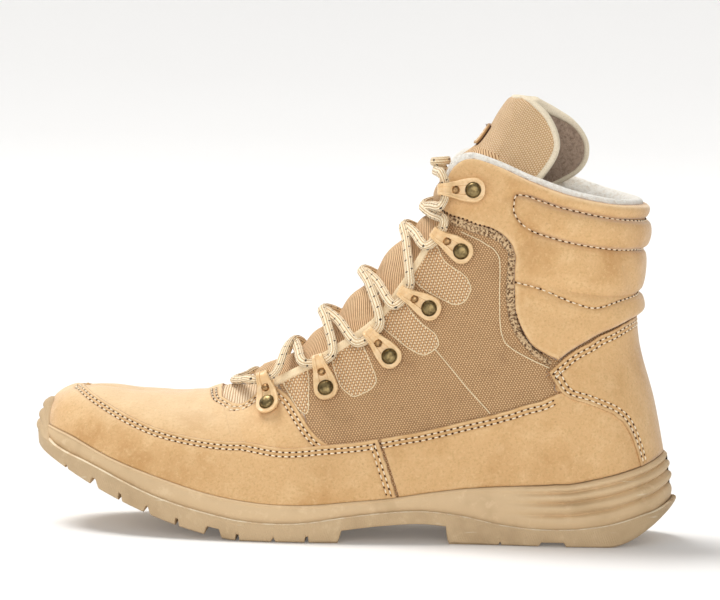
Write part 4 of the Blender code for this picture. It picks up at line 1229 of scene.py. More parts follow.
@dataclass(frozen=True)
class Ribbed:
    """Fabric with fine ribs along its cloth coordinates, in a chevron where it is split."""

    name: str
    pitch: float = 0.0010
    slope: float = 0.0
    base: Colour = srgb(222, 180, 134)
    light: Colour = srgb(252, 226, 186)
    shade: Colour = srgb(132, 90, 56)

    def material(self) -> bpy.types.Material:
        """Builds the material.

        Returns:
            The material.
        """
        s = Shader(self.name)
        across, along = s.cloth()
        phase = (along + abs(across) * self.slope if self.slope else across) / self.pitch
        ridge = abs(((phase + s.noise(0.005) * 0.4) * math.pi).sine())
        twist = abs(((across * 0.7 + along) / (self.pitch * 0.55) * math.pi).sine())
        # Painted shade in the valleys between ribs and a painted highlight on their crowns
        colour = s.blend(self.shade, self.base, ridge.step(0.1, 0.6))
        colour = s.blend(colour, self.light, ridge.step(0.6, 1.0) * twist.step(0.2, 0.9) * 0.8)
        colour = s.blend(colour, self.shade, s.noise(0.004, 3.0).step(0.5, 0.8) * 0.3)
        s.bump((ridge, 0.00035), (twist, 0.00010), (s.noise(0.0003), 0.00006))
        return s.finish(colour, 0.85, Sheen_Weight=0.05, Specular_IOR_Level=0.25)


@dataclass(frozen=True)
class Fleece:
    """Napped lining."""

    name: str
    base: Colour = srgb(255, 252, 244)
    shade: Colour = srgb(236, 226, 210)

    def material(self) -> bpy.types.Material:
        """Builds the material.

        Returns:
            The material.
        """
        s = Shader(self.name)
        tuft = s.noise(0.0016, 4.0, 0.7)
        hair = s.noise(0.0005, 3.0, 0.7)
        colour = s.blend(self.shade, self.base, tuft.step(0.25, 0.6))
        colour = s.blend(colour, self.shade, hair.step(0.5, 0.8) * 0.4)
        s.bump((tuft, 0.0012), (hair, 0.0005))
        return s.finish(colour, 0.95, Sheen_Weight=0.5, Sheen_Roughness=0.6, Specular_IOR_Level=0.1)


class Mould(Enum):
    """The rubber parts of the sole."""

    SIDEWALL = "sidewall_rubber"
    TREAD = "tread_rubber"
    RIB = "rib_rubber"


@dataclass(frozen=True)
class Rubber:
    """Moulded rubber: matt, dusty in places, with pale scuffs; the rib line is painted pale as a highlight,
    mottled by dust.
    """

    mould: Mould
    base: Colour = srgb(211, 183, 144)
    light: Colour = srgb(230, 205, 168)
    shade: Colour = srgb(180, 152, 114)
    rubbed: Colour = srgb(226, 216, 192)
    dirt: Colour = srgb(118, 108, 88)
    dust_and_rib_highlight: Colour = srgb(232, 222, 198)

    def material(self) -> bpy.types.Material:
        """Builds the material.

        Returns:
            The material.
        """
        s = Shader(self.mould.value)
        x, y, z = s.split(s.place)
        cloud = s.noise(0.022, 3.0)
        dust = s.noise(0.006, 5.0, 0.65)
        pore = s.noise(0.0006, 3.0)
        colour = s.blend(self.base, self.shade, cloud.step(0.45, 0.75) * 0.5)
        colour = s.blend(colour, self.light, dust.step(0.52, 0.72) * 0.45)
        flat = s.join(x * 0.12, y * 0.12, z)
        scuff = s.noise(0.0022, 2.0, 0.5, flat).step(0.66, 0.74) * s.noise(0.02).step(0.5, 0.65)
        colour = s.blend(colour, self.rubbed, scuff * 0.5)
        mark = s.noise(0.0016, 2.0, 0.5, s.join(x * 0.2, y * 0.2, z)).step(0.70, 0.76)
        colour = s.blend(colour, self.dirt, mark * s.noise(0.016).step(0.55, 0.68) * 0.35)
        # Painted highlight on the rib line, broken up by the dust pattern
        if self.mould is Mould.RIB:
            colour = s.blend(colour, self.dust_and_rib_highlight, dust.step(0.3, 0.6) * 0.7)
        layers = [(pore, 0.00012), (dust, 0.00016), (scuff, 0.00006)]
        if self.mould is Mould.TREAD:
            layers.append((abs(((x + z * 0.4) * (math.pi / 0.0011)).sine()), 0.00008))
        s.bump(*layers)
        return s.finish(colour, 0.52 + dust * 0.22, Specular_IOR_Level=0.35)


@dataclass(frozen=True)
class Plate:
    """Coated metal of the lace loops, with small darker patches."""

    base: Colour = srgb(230, 192, 140)
    light: Colour = srgb(242, 212, 166)
    shade: Colour = srgb(202, 158, 106)

    def material(self) -> bpy.types.Material:
        """Builds the material.

        Returns:
            The material.
        """
        s = Shader("coated_plate")
        cloud = s.noise(0.004, 3.0)
        grain = s.noise(0.0004, 3.0)
        colour = s.blend(self.base, self.light, cloud.step(0.4, 0.7) * 0.7)
        colour = s.blend(colour, self.shade, s.noise(0.0017, 4.0).step(0.55, 0.75) * 0.4)
        s.bump((grain, 0.00006), (cloud, 0.00020))
        return s.finish(colour, 0.34 + grain * 0.15, Coat_Weight=0.25, Coat_Roughness=0.25)


@dataclass(frozen=True)
class Brass:
    """Antique brass, darker in stained patches."""

    name: str = "antique_brass"
    base: Colour = srgb(140, 122, 84)
    shade: Colour = srgb(78, 62, 40)

    def material(self) -> bpy.types.Material:
        """Builds the material.

        Returns:
            The material.
        """
        s = Shader(self.name)
        stain = s.noise(0.0018, 4.0, 0.6)
        scratch = s.noise(0.0005, 3.0)
        colour = s.blend(self.base, self.shade, stain.step(0.4, 0.7) * 0.8)
        s.bump((stain, 0.00010), (scratch, 0.00004))
        return s.finish(colour, 0.26 + stain * 0.25, Metallic=1.0)


@dataclass(frozen=True)
class Knit:
    """Knitted trim: uneven pale loops over dark yarn."""

    base: Colour = srgb(214, 184, 144)
    shade: Colour = srgb(150, 114, 78)
    dark: Colour = srgb(100, 72, 48)

    def material(self) -> bpy.types.Material:
        """Builds the material.

        Returns:
            The material.
        """
        s = Shader("trim_knit")
        u, v = s.cloth()
        knit = s.noise(0.0010, 2.0, 0.6)
        chain = abs(((v / 0.0021 + (u * math.tau).sine() * 0.35) * math.pi).sine())
        colour = s.blend(self.shade, self.base, (knit + chain * 0.22).step(0.46, 0.68))
        colour = s.blend(colour, self.dark, s.cells(0.0013).step(0.36, 0.60) * knit.step(0.56, 0.42))
        s.bump((knit, 0.0007), (chain, 0.00035))
        return s.finish(colour, 0.85, Sheen_Weight=0.1, Specular_IOR_Level=0.25)


@dataclass(frozen=True)
class Cord:
    """Lace cord with lengthwise ribs and small dark dots woven in at even steps."""

    ribs: int
    step: float = 0.0064
    lane: float = 0.0018
    base: Colour = srgb(238, 216, 178)
    light: Colour = srgb(250, 238, 212)
    shade: Colour = srgb(208, 174, 130)
    dot: Colour = srgb(58, 36, 22)

    def material(self) -> bpy.types.Material:
        """Builds the material.

        Returns:
            The material.
        """
        s = Shader("lace_cord")
        u, v = s.cloth()
        rib = abs((u * (math.pi * self.ribs)).sine())
        twill = abs(((v / 0.0011 + u * self.ribs * 0.5) * math.pi).sine())
        # Painted shade between the ribs and a painted highlight on their crowns, broken by the twill
        colour = s.blend(self.shade, self.base, rib.step(0.25, 0.75))
        colour = s.blend(colour, self.light, rib.step(0.6, 0.95) * twill.step(0.2, 0.8) * 0.8)
        colour = s.blend(colour, self.shade, s.noise(0.004, 3.0).step(0.5, 0.8) * 0.3)
        lane = u * (self.ribs / 2)
        across = (lane.math("FRACT") - 0.5) * (self.lane / MM)
        along = ((v / self.step + lane.math("FLOOR") * 0.17).math("FRACT") - 0.5) * (self.step / MM)
        dots = (across * across + along * along).step(0.26, 0.12)
        colour = s.blend(colour, self.dot, dots * 0.95)
        s.bump((rib, 0.00030), (twill, 0.00012), (s.noise(0.0003, 2.0), 0.00006), (dots, -0.00010))
        return s.finish(colour, 0.8, Sheen_Weight=0.2, Specular_IOR_Level=0.25)


@dataclass(frozen=True)
class Plain:
    """A thread, hole or tape: one colour with a fibre's grain."""

    name: str
    base: Colour
    shade: Colour
    size: float = 0.0006
    rough: float = 0.8

    def material(self) -> bpy.types.Material:
        """Builds the material.

        Returns:
            The material.
        """
        s = Shader(self.name)
        fibre = s.noise(self.size, 3.0)
        cloud = s.noise(self.size * 12, 3.0)
        colour = s.blend(self.base, self.shade, fibre.step(0.4, 0.75) * 0.6)
        colour = s.blend(colour, self.shade, cloud.step(0.5, 0.8) * 0.3)
        s.bump((fibre, self.size * 0.3))
        return s.finish(colour, self.rough, Specular_IOR_Level=0.3)


# Seams


def row_on_skin(points: Sequence, count: int = 0) -> Array:
    """A smooth line on the skin through rows of sigma and v, one point about each millimetre.

    Args:
        points: Rows of sigma and v.
        count: The fewest points wanted.

    Returns:
        Sigma and v of the line's points.
    """
    line = flowing(np.asarray(points, float) * SPAN, max(count, 24)) / SPAN
    run = np.linalg.norm(np.diff(LAST.skin(*line.T), axis=0), axis=1).sum()
    return flowing(line * SPAN, max(count, int(run / MM) + 2)) / SPAN


def other_side(line: Array) -> Array:
    """The same line on the medial side."""
    return np.column_stack([-line[:, 0], line[:, 1]])


def both_sides(line: Array) -> tuple[Array, Array]:
    """A line and the same line on the medial side."""
    return line, other_side(line)


def past_heel(line: Array) -> Array:
    """The mirror image of a line beyond the middle of the heel."""
    return np.column_stack([2 - line[:, 0], line[:, 1]])


def round_heel(line: Array) -> Array:
    """A line that goes on round the heel as its own mirror image."""
    return np.concatenate([line, past_heel(line)[-2::-1]])


@dataclass
class Stitching:
    """Rows of thread with the needle's holes between them, the holes drawn as small dark discs of painted
    shade.
    """

    pitch: float = 0.0030
    length: float = 0.0018
    radius: float = 0.00034
    hole: float = 0.00056
    thread: Shape = field(default_factory=Shape)
    holes: Shape = field(default_factory=Shape)

    def sew(self, line: Array, height: float | Array) -> None:
        """Sews a row along a line of sigma and v, at this height over the skin."""
        points = LAST.raised(*line.T, np.broadcast_to(height, len(line)))
        self.sew_points(points, LAST.normal(*line.T))

    def sew_points(self, points: Array, normals: Array, fine: float = 1.0) -> None:
        """Sews a row along points with their outward normals.

        Args:
            points: The row's course.
            normals: Outward directions along it.
            fine: Factor on the stitches' size.
        """
        run = run_along(points)
        number = max(int(run[-1] / (self.pitch * fine)), 1)
        pitch = run[-1] / number
        middle = (np.arange(number) + 0.5) * pitch
        reach = self.length * fine / 2

        def at(distance: Array, values: Array) -> Array:
            """Values at distances along the row."""
            return np.column_stack([np.interp(distance, run, values[:, k]) for k in range(3)])

        start, end = at(middle - reach, points), at(middle + reach, points)
        out = unit(at(middle, normals))
        side = unit(np.cross(end - start, out))
        turn = np.linspace(0, math.tau, 6, endpoint=False)
        rings = []
        for t, size in ((0.0, 0.3), (0.14, 0.85), (0.5, 1.0), (0.86, 0.85), (1.0, 0.3)):
            core = start + (end - start) * t + out * self.radius * fine * (0.1 + 1.8 * t * (1 - t))
            wide = side[:, None] * np.cos(turn)[None, :, None] + out[:, None] * np.sin(turn)[None, :, None]
            rings.append(core[:, None] + wide * self.radius * fine * size)
        rings = np.stack(rings, 1).reshape(number, -1, 3)
        sides = [
            (k * 6 + j, (k + 1) * 6 + j, (k + 1) * 6 + (j + 1) % 6, k * 6 + (j + 1) % 6)
            for k in range(4)
            for j in range(6)
        ]
        shape = sides + [tuple(range(6)), tuple(range(24, 30))]
        faces = [tuple(i + n * 30 for i in face) for n in range(number) for face in shape]
        self.thread.add(rings, faces)
        # Each needle hole is a small dark disc on the surface: painted shade of the hole
        between = np.concatenate([[max(middle[0] - pitch / 2, 0)], middle + pitch / 2])
        centre = at(between, points)
        out = unit(at(between, normals))
        after, before = np.minimum(between + 1e-4, run[-1]), np.maximum(between - 1e-4, 0)
        ahead = unit(at(after, points) - at(before, points))
        side = unit(np.cross(ahead, out))
        size = self.hole * fine
        cosine, sine = np.cos(turn)[None, :, None], np.sin(turn)[None, :, None]
        disc = centre[:, None] + (ahead[:, None] * cosine * 1.1 + side[:, None] * sine) * size
        disc = disc + out[:, None] * 0.00004
        lid = centre + out * 0.00012
        foot = disc - out[:, None] * 0.0004
        points = np.concatenate([foot, disc, lid[:, None]], axis=1)
        shape = [(j, (j + 1) % 6, 6 + (j + 1) % 6, 6 + j) for j in range(6)]
        shape += [(6 + j, 6 + (j + 1) % 6, 12) for j in range(6)] + [tuple(range(6))]
        faces = [tuple(i + n * 13 for i in face) for n in range(len(points)) for face in shape]
        self.holes.add(points, faces)

    def build(self) -> None:
        """Makes the two pieces."""
        thread = Plain("stitch_thread", srgb(248, 236, 212), srgb(214, 190, 152), 0.0004).material()
        hole = Plain("stitch_hole", srgb(78, 48, 26), srgb(44, 28, 16), 0.0004).material()
        dress(self.thread.make("stitches", [thread], mend=True, angle=80), "nubuck")
        dress(self.holes.make("painted_shade_marks", [hole], mend=True), "nubuck")


# Leather


RAND_TOP = (
    (0.0, 0.900), (0.038, 0.828), (0.065, 0.725), (0.094, 0.632), (0.138, 0.532), (0.166, 0.496),
    (0.191, 0.462), (0.212, 0.432), (0.253, 0.396), (0.289, 0.383), (0.340, 0.382), (0.387, 0.382),
    (0.446, 0.400), (0.495, 0.402), (0.544, 0.386), (0.574, 0.373), (0.600, 0.363),
)
NOTCH = (
    (0.3925, 0.800), (0.398, 0.774), (0.404, 0.748), (0.411, 0.727), (0.416, 0.728), (0.421, 0.737),
    (0.432, 0.785), (0.450, 0.877), (0.458, 0.915), (0.466, 0.950),
)
VAMP_BACK = (
    (0.486, 0.945), (0.491, 0.904), (0.494, 0.877), (0.501, 0.795), (0.506, 0.662), (0.511, 0.535),
    (0.519, 0.443), (0.530, 0.385),
)
FOXING_TOP = (
    (0.597, 0.363), (0.630, 0.345), (0.658, 0.323), (0.690, 0.303), (0.723, 0.289), (0.759, 0.276),
    (0.803, 0.262), (0.850, 0.247), (0.886, 0.256), (0.909, 0.283), (0.925, 0.300),
)
COUNTER_TOP = (
    (0.908, 0.353), (0.921, 0.393), (0.929, 0.422), (0.936, 0.446), (0.944, 0.468), (0.951, 0.491),
    (0.959, 0.508), (0.968, 0.525), (0.980, 0.539), (1.000, 0.545),
)
COUNTER_FRONT = (
    (0.908, 0.348), (0.911, 0.328), (0.915, 0.298), (0.923, 0.273), (0.932, 0.260), (0.941, 0.237),
    (0.948, 0.215), (0.954, 0.180), (0.958, 0.123), (0.9605, 0.062), (0.962, 0.000),
)
RAND_BACK = ((0.600, 0.363), (0.600, 0.298), (0.600, 0.213), (0.600, 0.119), (0.600, 0.0))
# Soft creases: sigma, v, then depth and half width in metres
CREASES = (
    (((0.335, 0.70), (0.345, 0.86), (0.350, 1.0)), 0.00060, 0.0040),
    (((0.295, 0.66), (0.300, 0.84), (0.298, 1.0)), 0.00045, 0.0050),
    (((0.372, 0.60), (0.366, 0.74), (0.372, 0.90)), 0.00050, 0.0035),
    (((0.250, 0.55), (0.262, 0.72), (0.270, 0.88)), 0.00025, 0.0040),
    (((0.455, 0.55), (0.462, 0.66), (0.470, 0.78)), -0.00035, 0.0040),
    (((0.30, 0.15), (0.36, 0.20), (0.43, 0.18)), 0.00025, 0.0050),
    (((0.655, 0.16), (0.72, 0.19), (0.80, 0.17)), 0.00040, 0.0060),
    (((0.88, 0.12), (0.90, 0.19), (0.93, 0.21)), -0.00035, 0.0050),
)
EDGE_ROWS = np.array([0, 0.2, 0.45, 0.75, 1.15, 1.7, 2.3, 3.2, 4.2, 5.2, 6.5]) * MM


@dataclass
class Leather:
    """A leather piece between two outlines on the skin, with rolled cut edges and pressed seams."""

    name: str
    sigma: Array
    low: Array
    high: Array
    edges: list[Array]
    seams: list[Array]
    step: float = 0.0
    thickness: float = 0.0015
    rows: int = 26
    rolled: float = 0.00085
    groove: float = 0.00022
    groove_width: float = 0.0009

    def rows_up(self) -> Array:
        """V of each column's rows, close together under the top edge.

        Returns:
            V by column and row.
        """
        size = np.linalg.norm(LAST.skin(self.sigma, self.high) - LAST.skin(self.sigma, self.low), axis=-1)
        total = len(EDGE_ROWS) + self.rows
        share = np.arange(total) / (total - 1)
        down = np.empty((len(self.sigma), total))
        near = len(EDGE_ROWS)
        down[:, :near] = np.minimum(EDGE_ROWS[None, :], size[:, None] * share[None, :near])
        rest = np.arange(1, self.rows + 1) / self.rows
        last = down[:, near - 1 : near]
        down[:, near:] = last + (size[:, None] - last) * rest[None, :]
        gap = np.maximum(size, 1e-9)
        v = self.high[:, None] - (self.high - self.low)[:, None] * down / gap[:, None]
        return v[:, ::-1]

    def build(self, surface: bpy.types.Material, *nodes: str) -> bpy.types.Object:
        """Makes the piece, in place of the named nodes.

        Args:
            surface: The leather's material.
            *nodes: CAD nodes that it stands for.

        Returns:
            The piece.
        """
        v = self.rows_up()
        sigma = np.broadcast_to(self.sigma[:, None], v.shape)
        base = LAST.skin(sigma, v)
        edge = distances(base, [LAST.skin(*line.T) for line in self.edges])
        seam = distances(base, [LAST.skin(*line.T) for line in self.seams])
        near = np.clip(1 - edge / self.rolled, 0, 1)
        height = self.step - self.rolled * (1 - np.sqrt(1 - near**2)) * 0.9
        height = height - self.groove * np.exp(-((seam / self.groove_width) ** 2))
        height = height - creased(base, sigma)
        shape = Shape()
        shape.grid(base + LAST.normal(sigma, v) * height[..., None], edge=edge, seam=seam)
        return dress(shape.make(self.name, [surface], wall=self.thickness + self.step), "nubuck", *nodes)


def creased(points: Array, sigma: Array) -> Array:
    """Depth of the listed creases, on both sides of the boot.

    Args:
        points: Points on the skin.
        sigma: Their places round the boot.

    Returns:
        The depths.
    """
    depth = np.zeros(sigma.shape)
    for line, deep, wide in CREASES:
        course = row_on_skin(line)
        for sided, strength in ((course, 1.0), (other_side(course), 0.8)):
            apart = distances(points, [LAST.skin(*sided.T)])
            depth += strength * deep * np.exp(-((apart / wide) ** 2)) * (apart < CREASE_REACH)
    return depth


@dataclass
class Leathers:
    """The leather overlays: rand, vamp, foxings and heel counter."""

    rand_step: float = 0.0007
    counter_step: float = 0.0008
    rand_end: float = 0.600
    foxing_start: float = 0.6035
    inner_row: float = 0.0023
    outer_row: float = 0.0043
    sunk: float = 0.00020
    foot: float = 0.004

    def double_row(self, line: Array, sewing: Stitching, height: float) -> list[Array]:
        """Sews two rows inside an edge on both sides and gives their courses.

        Args:
            line: Sigma and v of the edge.
            sewing: The stitching to add to.
            height: Height of the leather over the skin.

        Returns:
            The courses.
        """
        rows = []
        for away in (self.inner_row, self.outer_row):
            row = LAST.aside(line, -away)
            row = row[(row[:, 1] > 0.02) & (row[:, 1] < 0.985)]
            for course in both_sides(row):
                sewing.sew(course, height - self.sunk)
                rows.append(course)
        return rows

    def rand(self, surface: bpy.types.Material, sewing: Stitching) -> None:
        """The mudguard around the toe.

        Args:
            surface: The leather.
            sewing: The stitching to add to.
        """
        side = np.linspace(0, self.rand_end, 170)
        sigma = mirrored(side)
        high = spline(RAND_TOP, np.abs(sigma))[:, 0]
        top = row_on_skin(RAND_TOP, 400)
        back = row_on_skin(RAND_BACK)
        seams = self.double_row(top[4:-4], sewing, self.rand_step)
        seams += self.double_row(back[2:], sewing, self.rand_step)
        edges = [*both_sides(top), *both_sides(back)]
        piece = Leather("rand_leather", sigma, fill(self.foot, sigma), high, edges, seams, self.rand_step)
        piece.build(surface, "rand")

    def vamp(self, surface: bpy.types.Material, sewing: Stitching) -> None:
        """The vamp, up to its notch at the throat and the wings under the first loops.

        Args:
            surface: The leather.
            sewing: The stitching to add to.
        """
        split = NOTCH[0][0]
        side = np.concatenate([
            np.linspace(0, 0.36, 90, endpoint=False),
            np.linspace(0.36, split - 1e-4, 14),
            np.linspace(split, VAMP_BACK[-1][0], 100),
        ])
        sigma = mirrored(side)
        s = np.abs(sigma)
        outline = NOTCH + ((0.476, 0.965),) + VAMP_BACK
        low = spline(RAND_TOP, s)[:, 0] - 0.06
        high = np.where(s < split - 1e-5, 1.0, spline(outline, s)[:, 0])
        front = row_on_skin(((split, 1.0), (split, 0.9), (split, 0.80)))
        line = row_on_skin(outline)
        notch = row_on_skin(((0.389, 0.93), (0.390, 0.86), *NOTCH[:-1]))
        back = row_on_skin(VAMP_BACK)
        seams = self.double_row(notch, sewing, 0.0)
        seams += self.double_row(back[3:], sewing, 0.0)
        edges = [*both_sides(front), *both_sides(line)]
        piece = Leather("vamp_leather", sigma, low, np.maximum(high, low + 0.001), edges, seams)
        piece.build(surface, "vamp")

    def foxings(self, surface: bpy.types.Material, sewing: Stitching) -> None:
        """The lower quarter on each side, between rand and counter.

        Args:
            surface: The leather.
            sewing: The stitching to add to.
        """
        side = np.linspace(self.foxing_start, 0.968, 150)
        front = spline(tuple(sorted((v, s) for s, v in COUNTER_FRONT)), np.linspace(0, 0.348, 30))[:, 0]
        under = np.interp(side, front[::-1], np.linspace(0, 0.348, 30)[::-1]) + 0.04
        top = spline(FOXING_TOP, side)[:, 0]
        high = np.where(side > 0.909, np.minimum(under, top), top)
        line = row_on_skin(FOXING_TOP[:-1], 200)
        seams = self.double_row(line[3:-3], sewing, 0.0)
        for side_of in Side:
            sign = side_of.value
            edges = [line if sign > 0 else other_side(line)]
            sigma, low, word = (sign * side)[::sign], fill(self.foot, side), side_of.word
            piece = Leather(f"foxing_leather_{word}", sigma, low, high[::sign], edges, seams)
            piece.build(surface, f"foxing_{word}")

    def counter(self, surface: bpy.types.Material, sewing: Stitching) -> None:
        """The patch around the heel, over the foxings and the cuff's lower edge.

        Args:
            surface: The leather.
            sewing: The stitching to add to.
        """
        side = np.concatenate([np.linspace(0.9085, 0.962, 60, endpoint=False), np.linspace(0.962, 1.0, 30)])
        high = spline(COUNTER_TOP, side)[:, 0]
        low = np.where(side < COUNTER_FRONT[-1][0], np.interp(side, *np.array(COUNTER_FRONT).T), self.foot)
        sigma = np.concatenate([side, 2 - side[-2::-1]])
        upper = round_heel(row_on_skin(COUNTER_TOP))
        lower = row_on_skin(COUNTER_FRONT)
        seams = []
        for away in (self.inner_row - 0.0003, self.outer_row - 0.0003):
            row = LAST.aside(upper, -away)
            front = LAST.aside(lower, away)
            front = front[(front[:, 1] > 0.01) & (front[:, 0] > 0.913)]
            row = row[(row[:, 0] > 0.912) & (row[:, 0] < 1.088)]
            for course in (row, front, past_heel(front)):
                sewing.sew(course, self.counter_step - self.sunk)
                seams.append(course)
        piece = Leather(
            "counter_leather",
            sigma,
            np.concatenate([low, low[-2::-1]]),
            np.concatenate([high, high[-2::-1]]),
            [upper, lower, past_heel(lower)],
            seams,
            self.counter_step,
        )
        piece.build(surface, "heel_counter")

    def build(self, surface: bpy.types.Material, sewing: Stitching) -> None:
        """Makes all the overlays.

        Args:
            surface: The leather.
            sewing: The stitching to add to.
        """
        self.vamp(surface, sewing)
        self.foxings(surface, sewing)
        self.rand(surface, sewing)
        self.counter(surface, sewing)


# Textile


TABS = (
    (
        (0.499, 0.930), (0.505, 1.000), (0.534, 1.000), (0.536, 0.928), (0.526, 0.780), (0.514, 0.650),
        (0.507, 0.684), (0.502, 0.800),
    ),
    (
        (0.574, 0.844), (0.575, 0.754), (0.581, 0.695), (0.588, 0.655), (0.604, 0.652), (0.616, 0.660),
        (0.621, 0.687), (0.621, 0.747), (0.620, 0.823), (0.617, 0.930), (0.612, 1.000), (0.580, 1.000),
        (0.576, 0.930),
    ),
    (
        (0.641, 1.000), (0.649, 0.911), (0.661, 0.817), (0.672, 0.742), (0.684, 0.680), (0.696, 0.637),
        (0.710, 0.625), (0.722, 0.628), (0.723, 0.655), (0.715, 0.708), (0.703, 0.774), (0.691, 0.880),
        (0.682, 1.000),
    ),
    (
        (0.704, 1.000), (0.716, 0.908), (0.731, 0.830), (0.749, 0.760), (0.767, 0.704), (0.783, 0.685),
        (0.803, 0.674), (0.823, 0.667), (0.817, 0.701), (0.800, 0.752), (0.784, 0.803), (0.766, 0.880),
        (0.755, 1.000),
    ),
)
QUARTER_STITCH = (
    (0.833, 0.823), (0.846, 0.777), (0.858, 0.745), (0.868, 0.717), (0.876, 0.698), (0.876, 0.671),
    (0.863, 0.561), (0.853, 0.474), (0.854, 0.441), (0.862, 0.415), (0.874, 0.393), (0.888, 0.381),
    (0.903, 0.373), (0.910, 0.368),
)
DIAGONAL_SEAM = ((0.715, 0.619), (0.731, 0.512), (0.753, 0.386), (0.780, 0.273))


@dataclass
class Quarters:
    """The woven shell: quarters, tabs with their piping, throat gusset and the lining behind."""

    depth: float = 0.0012
    thickness: float = 0.0031
    tab_height: float = 0.0004
    piping: float = 0.00026
    gusset_end: float = 0.492

    def tab_lines(self) -> list[Array]:
        """The tabs' outlines on the lateral side, each closed."""
        return [row_on_skin((*tab, tab[0])) for tab in TABS]

    def inside(self, sigma: Array, v: Array, lines: list[Array]) -> Array:
        """Whether points lie within one of the outlines.

        Args:
            sigma: Places round the boot.
            v: Places up the sections.
            lines: Closed outlines in sigma and v.

        Returns:
            True where a point is inside.
        """
        found = np.zeros(sigma.shape, bool)
        for line in lines:
            crossed = np.zeros(sigma.shape, bool)
            for (s0, v0), (s1, v1) in zip(line[:-1], line[1:]):
                if v0 == v1:
                    continue
                hit = (v0 > v) != (v1 > v)
                crossed ^= hit & (sigma < (s1 - s0) * (v - v0) / (v1 - v0) + s0)
            found |= crossed
        return found

    def build(self) -> None:
        """Makes shell, piping and the seams on them."""
        side = np.concatenate([
            np.linspace(0, 0.38, 32, endpoint=False),
            np.linspace(0.38, 0.92, 210, endpoint=False),
            np.linspace(0.92, 1.0, 24),
        ])
        sigma, v = np.meshgrid(mirrored(side), np.linspace(0.005, 1, 84), indexing="ij")
        # Under the toe of the vamp the two halves stop short of the ridge
        v = v * (0.88 + 0.12 * ease(np.abs(sigma), 0.04, 0.14))
        # Round the collar they end inside the fleece roll, so it covers their top edge
        v = v * (1 - 0.022 * ease(np.abs(sigma), 0.80, 0.83))
        base = LAST.skin(sigma, v)
        lines = self.tab_lines()
        course = [LAST.skin(*line.T) for line in lines]
        course += [LAST.skin(*other_side(line).T) for line in lines]
        apart = distances(base, course)
        tab = np.where(self.inside(np.abs(sigma), v, lines), apart, -apart)
        pinch = np.zeros(sigma.shape)
        for line in (row_on_skin(QUARTER_STITCH), row_on_skin(DIAGONAL_SEAM)):
            gap = distances(base, [LAST.skin(*line.T), LAST.skin(*other_side(line).T)])
            pinch += 0.00030 * np.exp(-((gap / 0.0016) ** 2))
        raised = self.tab_height * ease(tab, -0.0002, 0.0008)
        height = -self.depth + raised - pinch - 0.5 * creased(base, sigma)
        shape = Shape()
        run = np.cumsum(np.linalg.norm(np.diff(base, axis=0, prepend=base[:1]), axis=-1), axis=0)
        rise = np.cumsum(np.linalg.norm(np.diff(base, axis=1, prepend=base[:, :1]), axis=-1), axis=1)
        in_gusset = (np.abs(sigma) < self.gusset_end)[..., None]
        uv = np.where(in_gusset, base[..., [0, 2]], np.stack([run, rise], -1))
        shape.grid(base + LAST.normal(sigma, v) * height[..., None], 0, uv, tab=tab)
        middle = np.abs(sigma[:-1, :-1] + sigma[1:, 1:]).ravel() / 2
        shape.slots = [1 if s < self.gusset_end else 0 for s in middle]
        weave = Weave(Zone.QUARTER).material()
        tones = (srgb(236, 208, 172), srgb(255, 242, 216), srgb(192, 154, 114))
        gusset = Ribbed("gusset_rib", 0.0012, 0.0, *tones).material()
        # The lining is drawn dark brown: partly its own colour, partly painted shade inside the boot
        lining = Fleece("quarter_lining", srgb(156, 128, 106), srgb(104, 80, 62)).material()
        obj = shape.make("quarters", [weave, gusset, lining, lining], wall=self.thickness, inner=2)
        dress(obj, "textile", "upper")
        thread = Plain("piping", srgb(240, 222, 186), srgb(206, 176, 134), 0.0004).material()
        piping = Shape()
        section = oval(self.piping * 2, self.piping * 1.7, 8)
        height = -self.depth + self.piping * 0.7
        for line in lines:
            for sided in both_sides(line):
                points = LAST.raised(*sided.T, fill(height, sided[:, 0]))
                piping.tube(points[:-1], section, up=LAST.normal(*sided[:-1].T), closed=True)
        for line in (row_on_skin(DIAGONAL_SEAM), row_on_skin(QUARTER_STITCH)):
            for sided in both_sides(line):
                points = LAST.raised(*sided.T, fill(height - 0.0001, sided[:, 0]))
                piping.tube(points, section, up=LAST.normal(*sided.T))
        dress(piping.make("tab_piping", [thread], mend=True), "textile")


@dataclass
class ThroatTape:
    """The smooth binding that wraps each throat edge."""

    side: Side
    start: float = 0.470
    end: float = 0.792
    width: float = 0.0040

    def build(self, surface: bpy.types.Material) -> None:
        """Makes the tape.

        Args:
            surface: The binding's material.
        """
        sigma = self.side.value * np.linspace(self.start, self.end, 130)
        profile = (
            (1.00, -0.0021), (1.00, -0.0009), (0.93, -0.0001), (0.65, 0.0003), (0.30, 0.0004), (0.08, 0.0002),
            (0.00, -0.0006), (0.00, -0.0024), (0.00, -0.0042), (0.12, -0.0050), (0.50, -0.0052),
            (0.90, -0.0050), (0.92, -0.0042),
        )
        length = np.linalg.norm(LAST.skin(sigma, 1.0) - LAST.skin(sigma, 0.5), axis=-1) * 2
        rings = [
            LAST.raised(sigma, 1 - share * self.width / length, fill(height, sigma))
            for share, height in profile
        ]
        shape = Shape()
        run = np.linspace(0, 0.11, len(sigma))
        turn = np.linspace(0, 0.012, len(profile))
        uv = strip_uv(run, turn)
        shape.loft(np.stack(rings, 1), uv=uv)
        node = f"throat_tape_{self.side.word}"
        dress(shape.make(f"binding_{self.side.word}", [surface], mend=True), "binding", node)


CUFF_EDGE = (
    (0.797, 0.985), (0.814, 0.936), (0.839, 0.848), (0.863, 0.783), (0.886, 0.760), (0.893, 0.751),
    (0.898, 0.731), (0.898, 0.704), (0.894, 0.658), (0.887, 0.592), (0.881, 0.528), (0.881, 0.484),
    (0.887, 0.446), (0.897, 0.419), (0.907, 0.401), (0.914, 0.392),
)


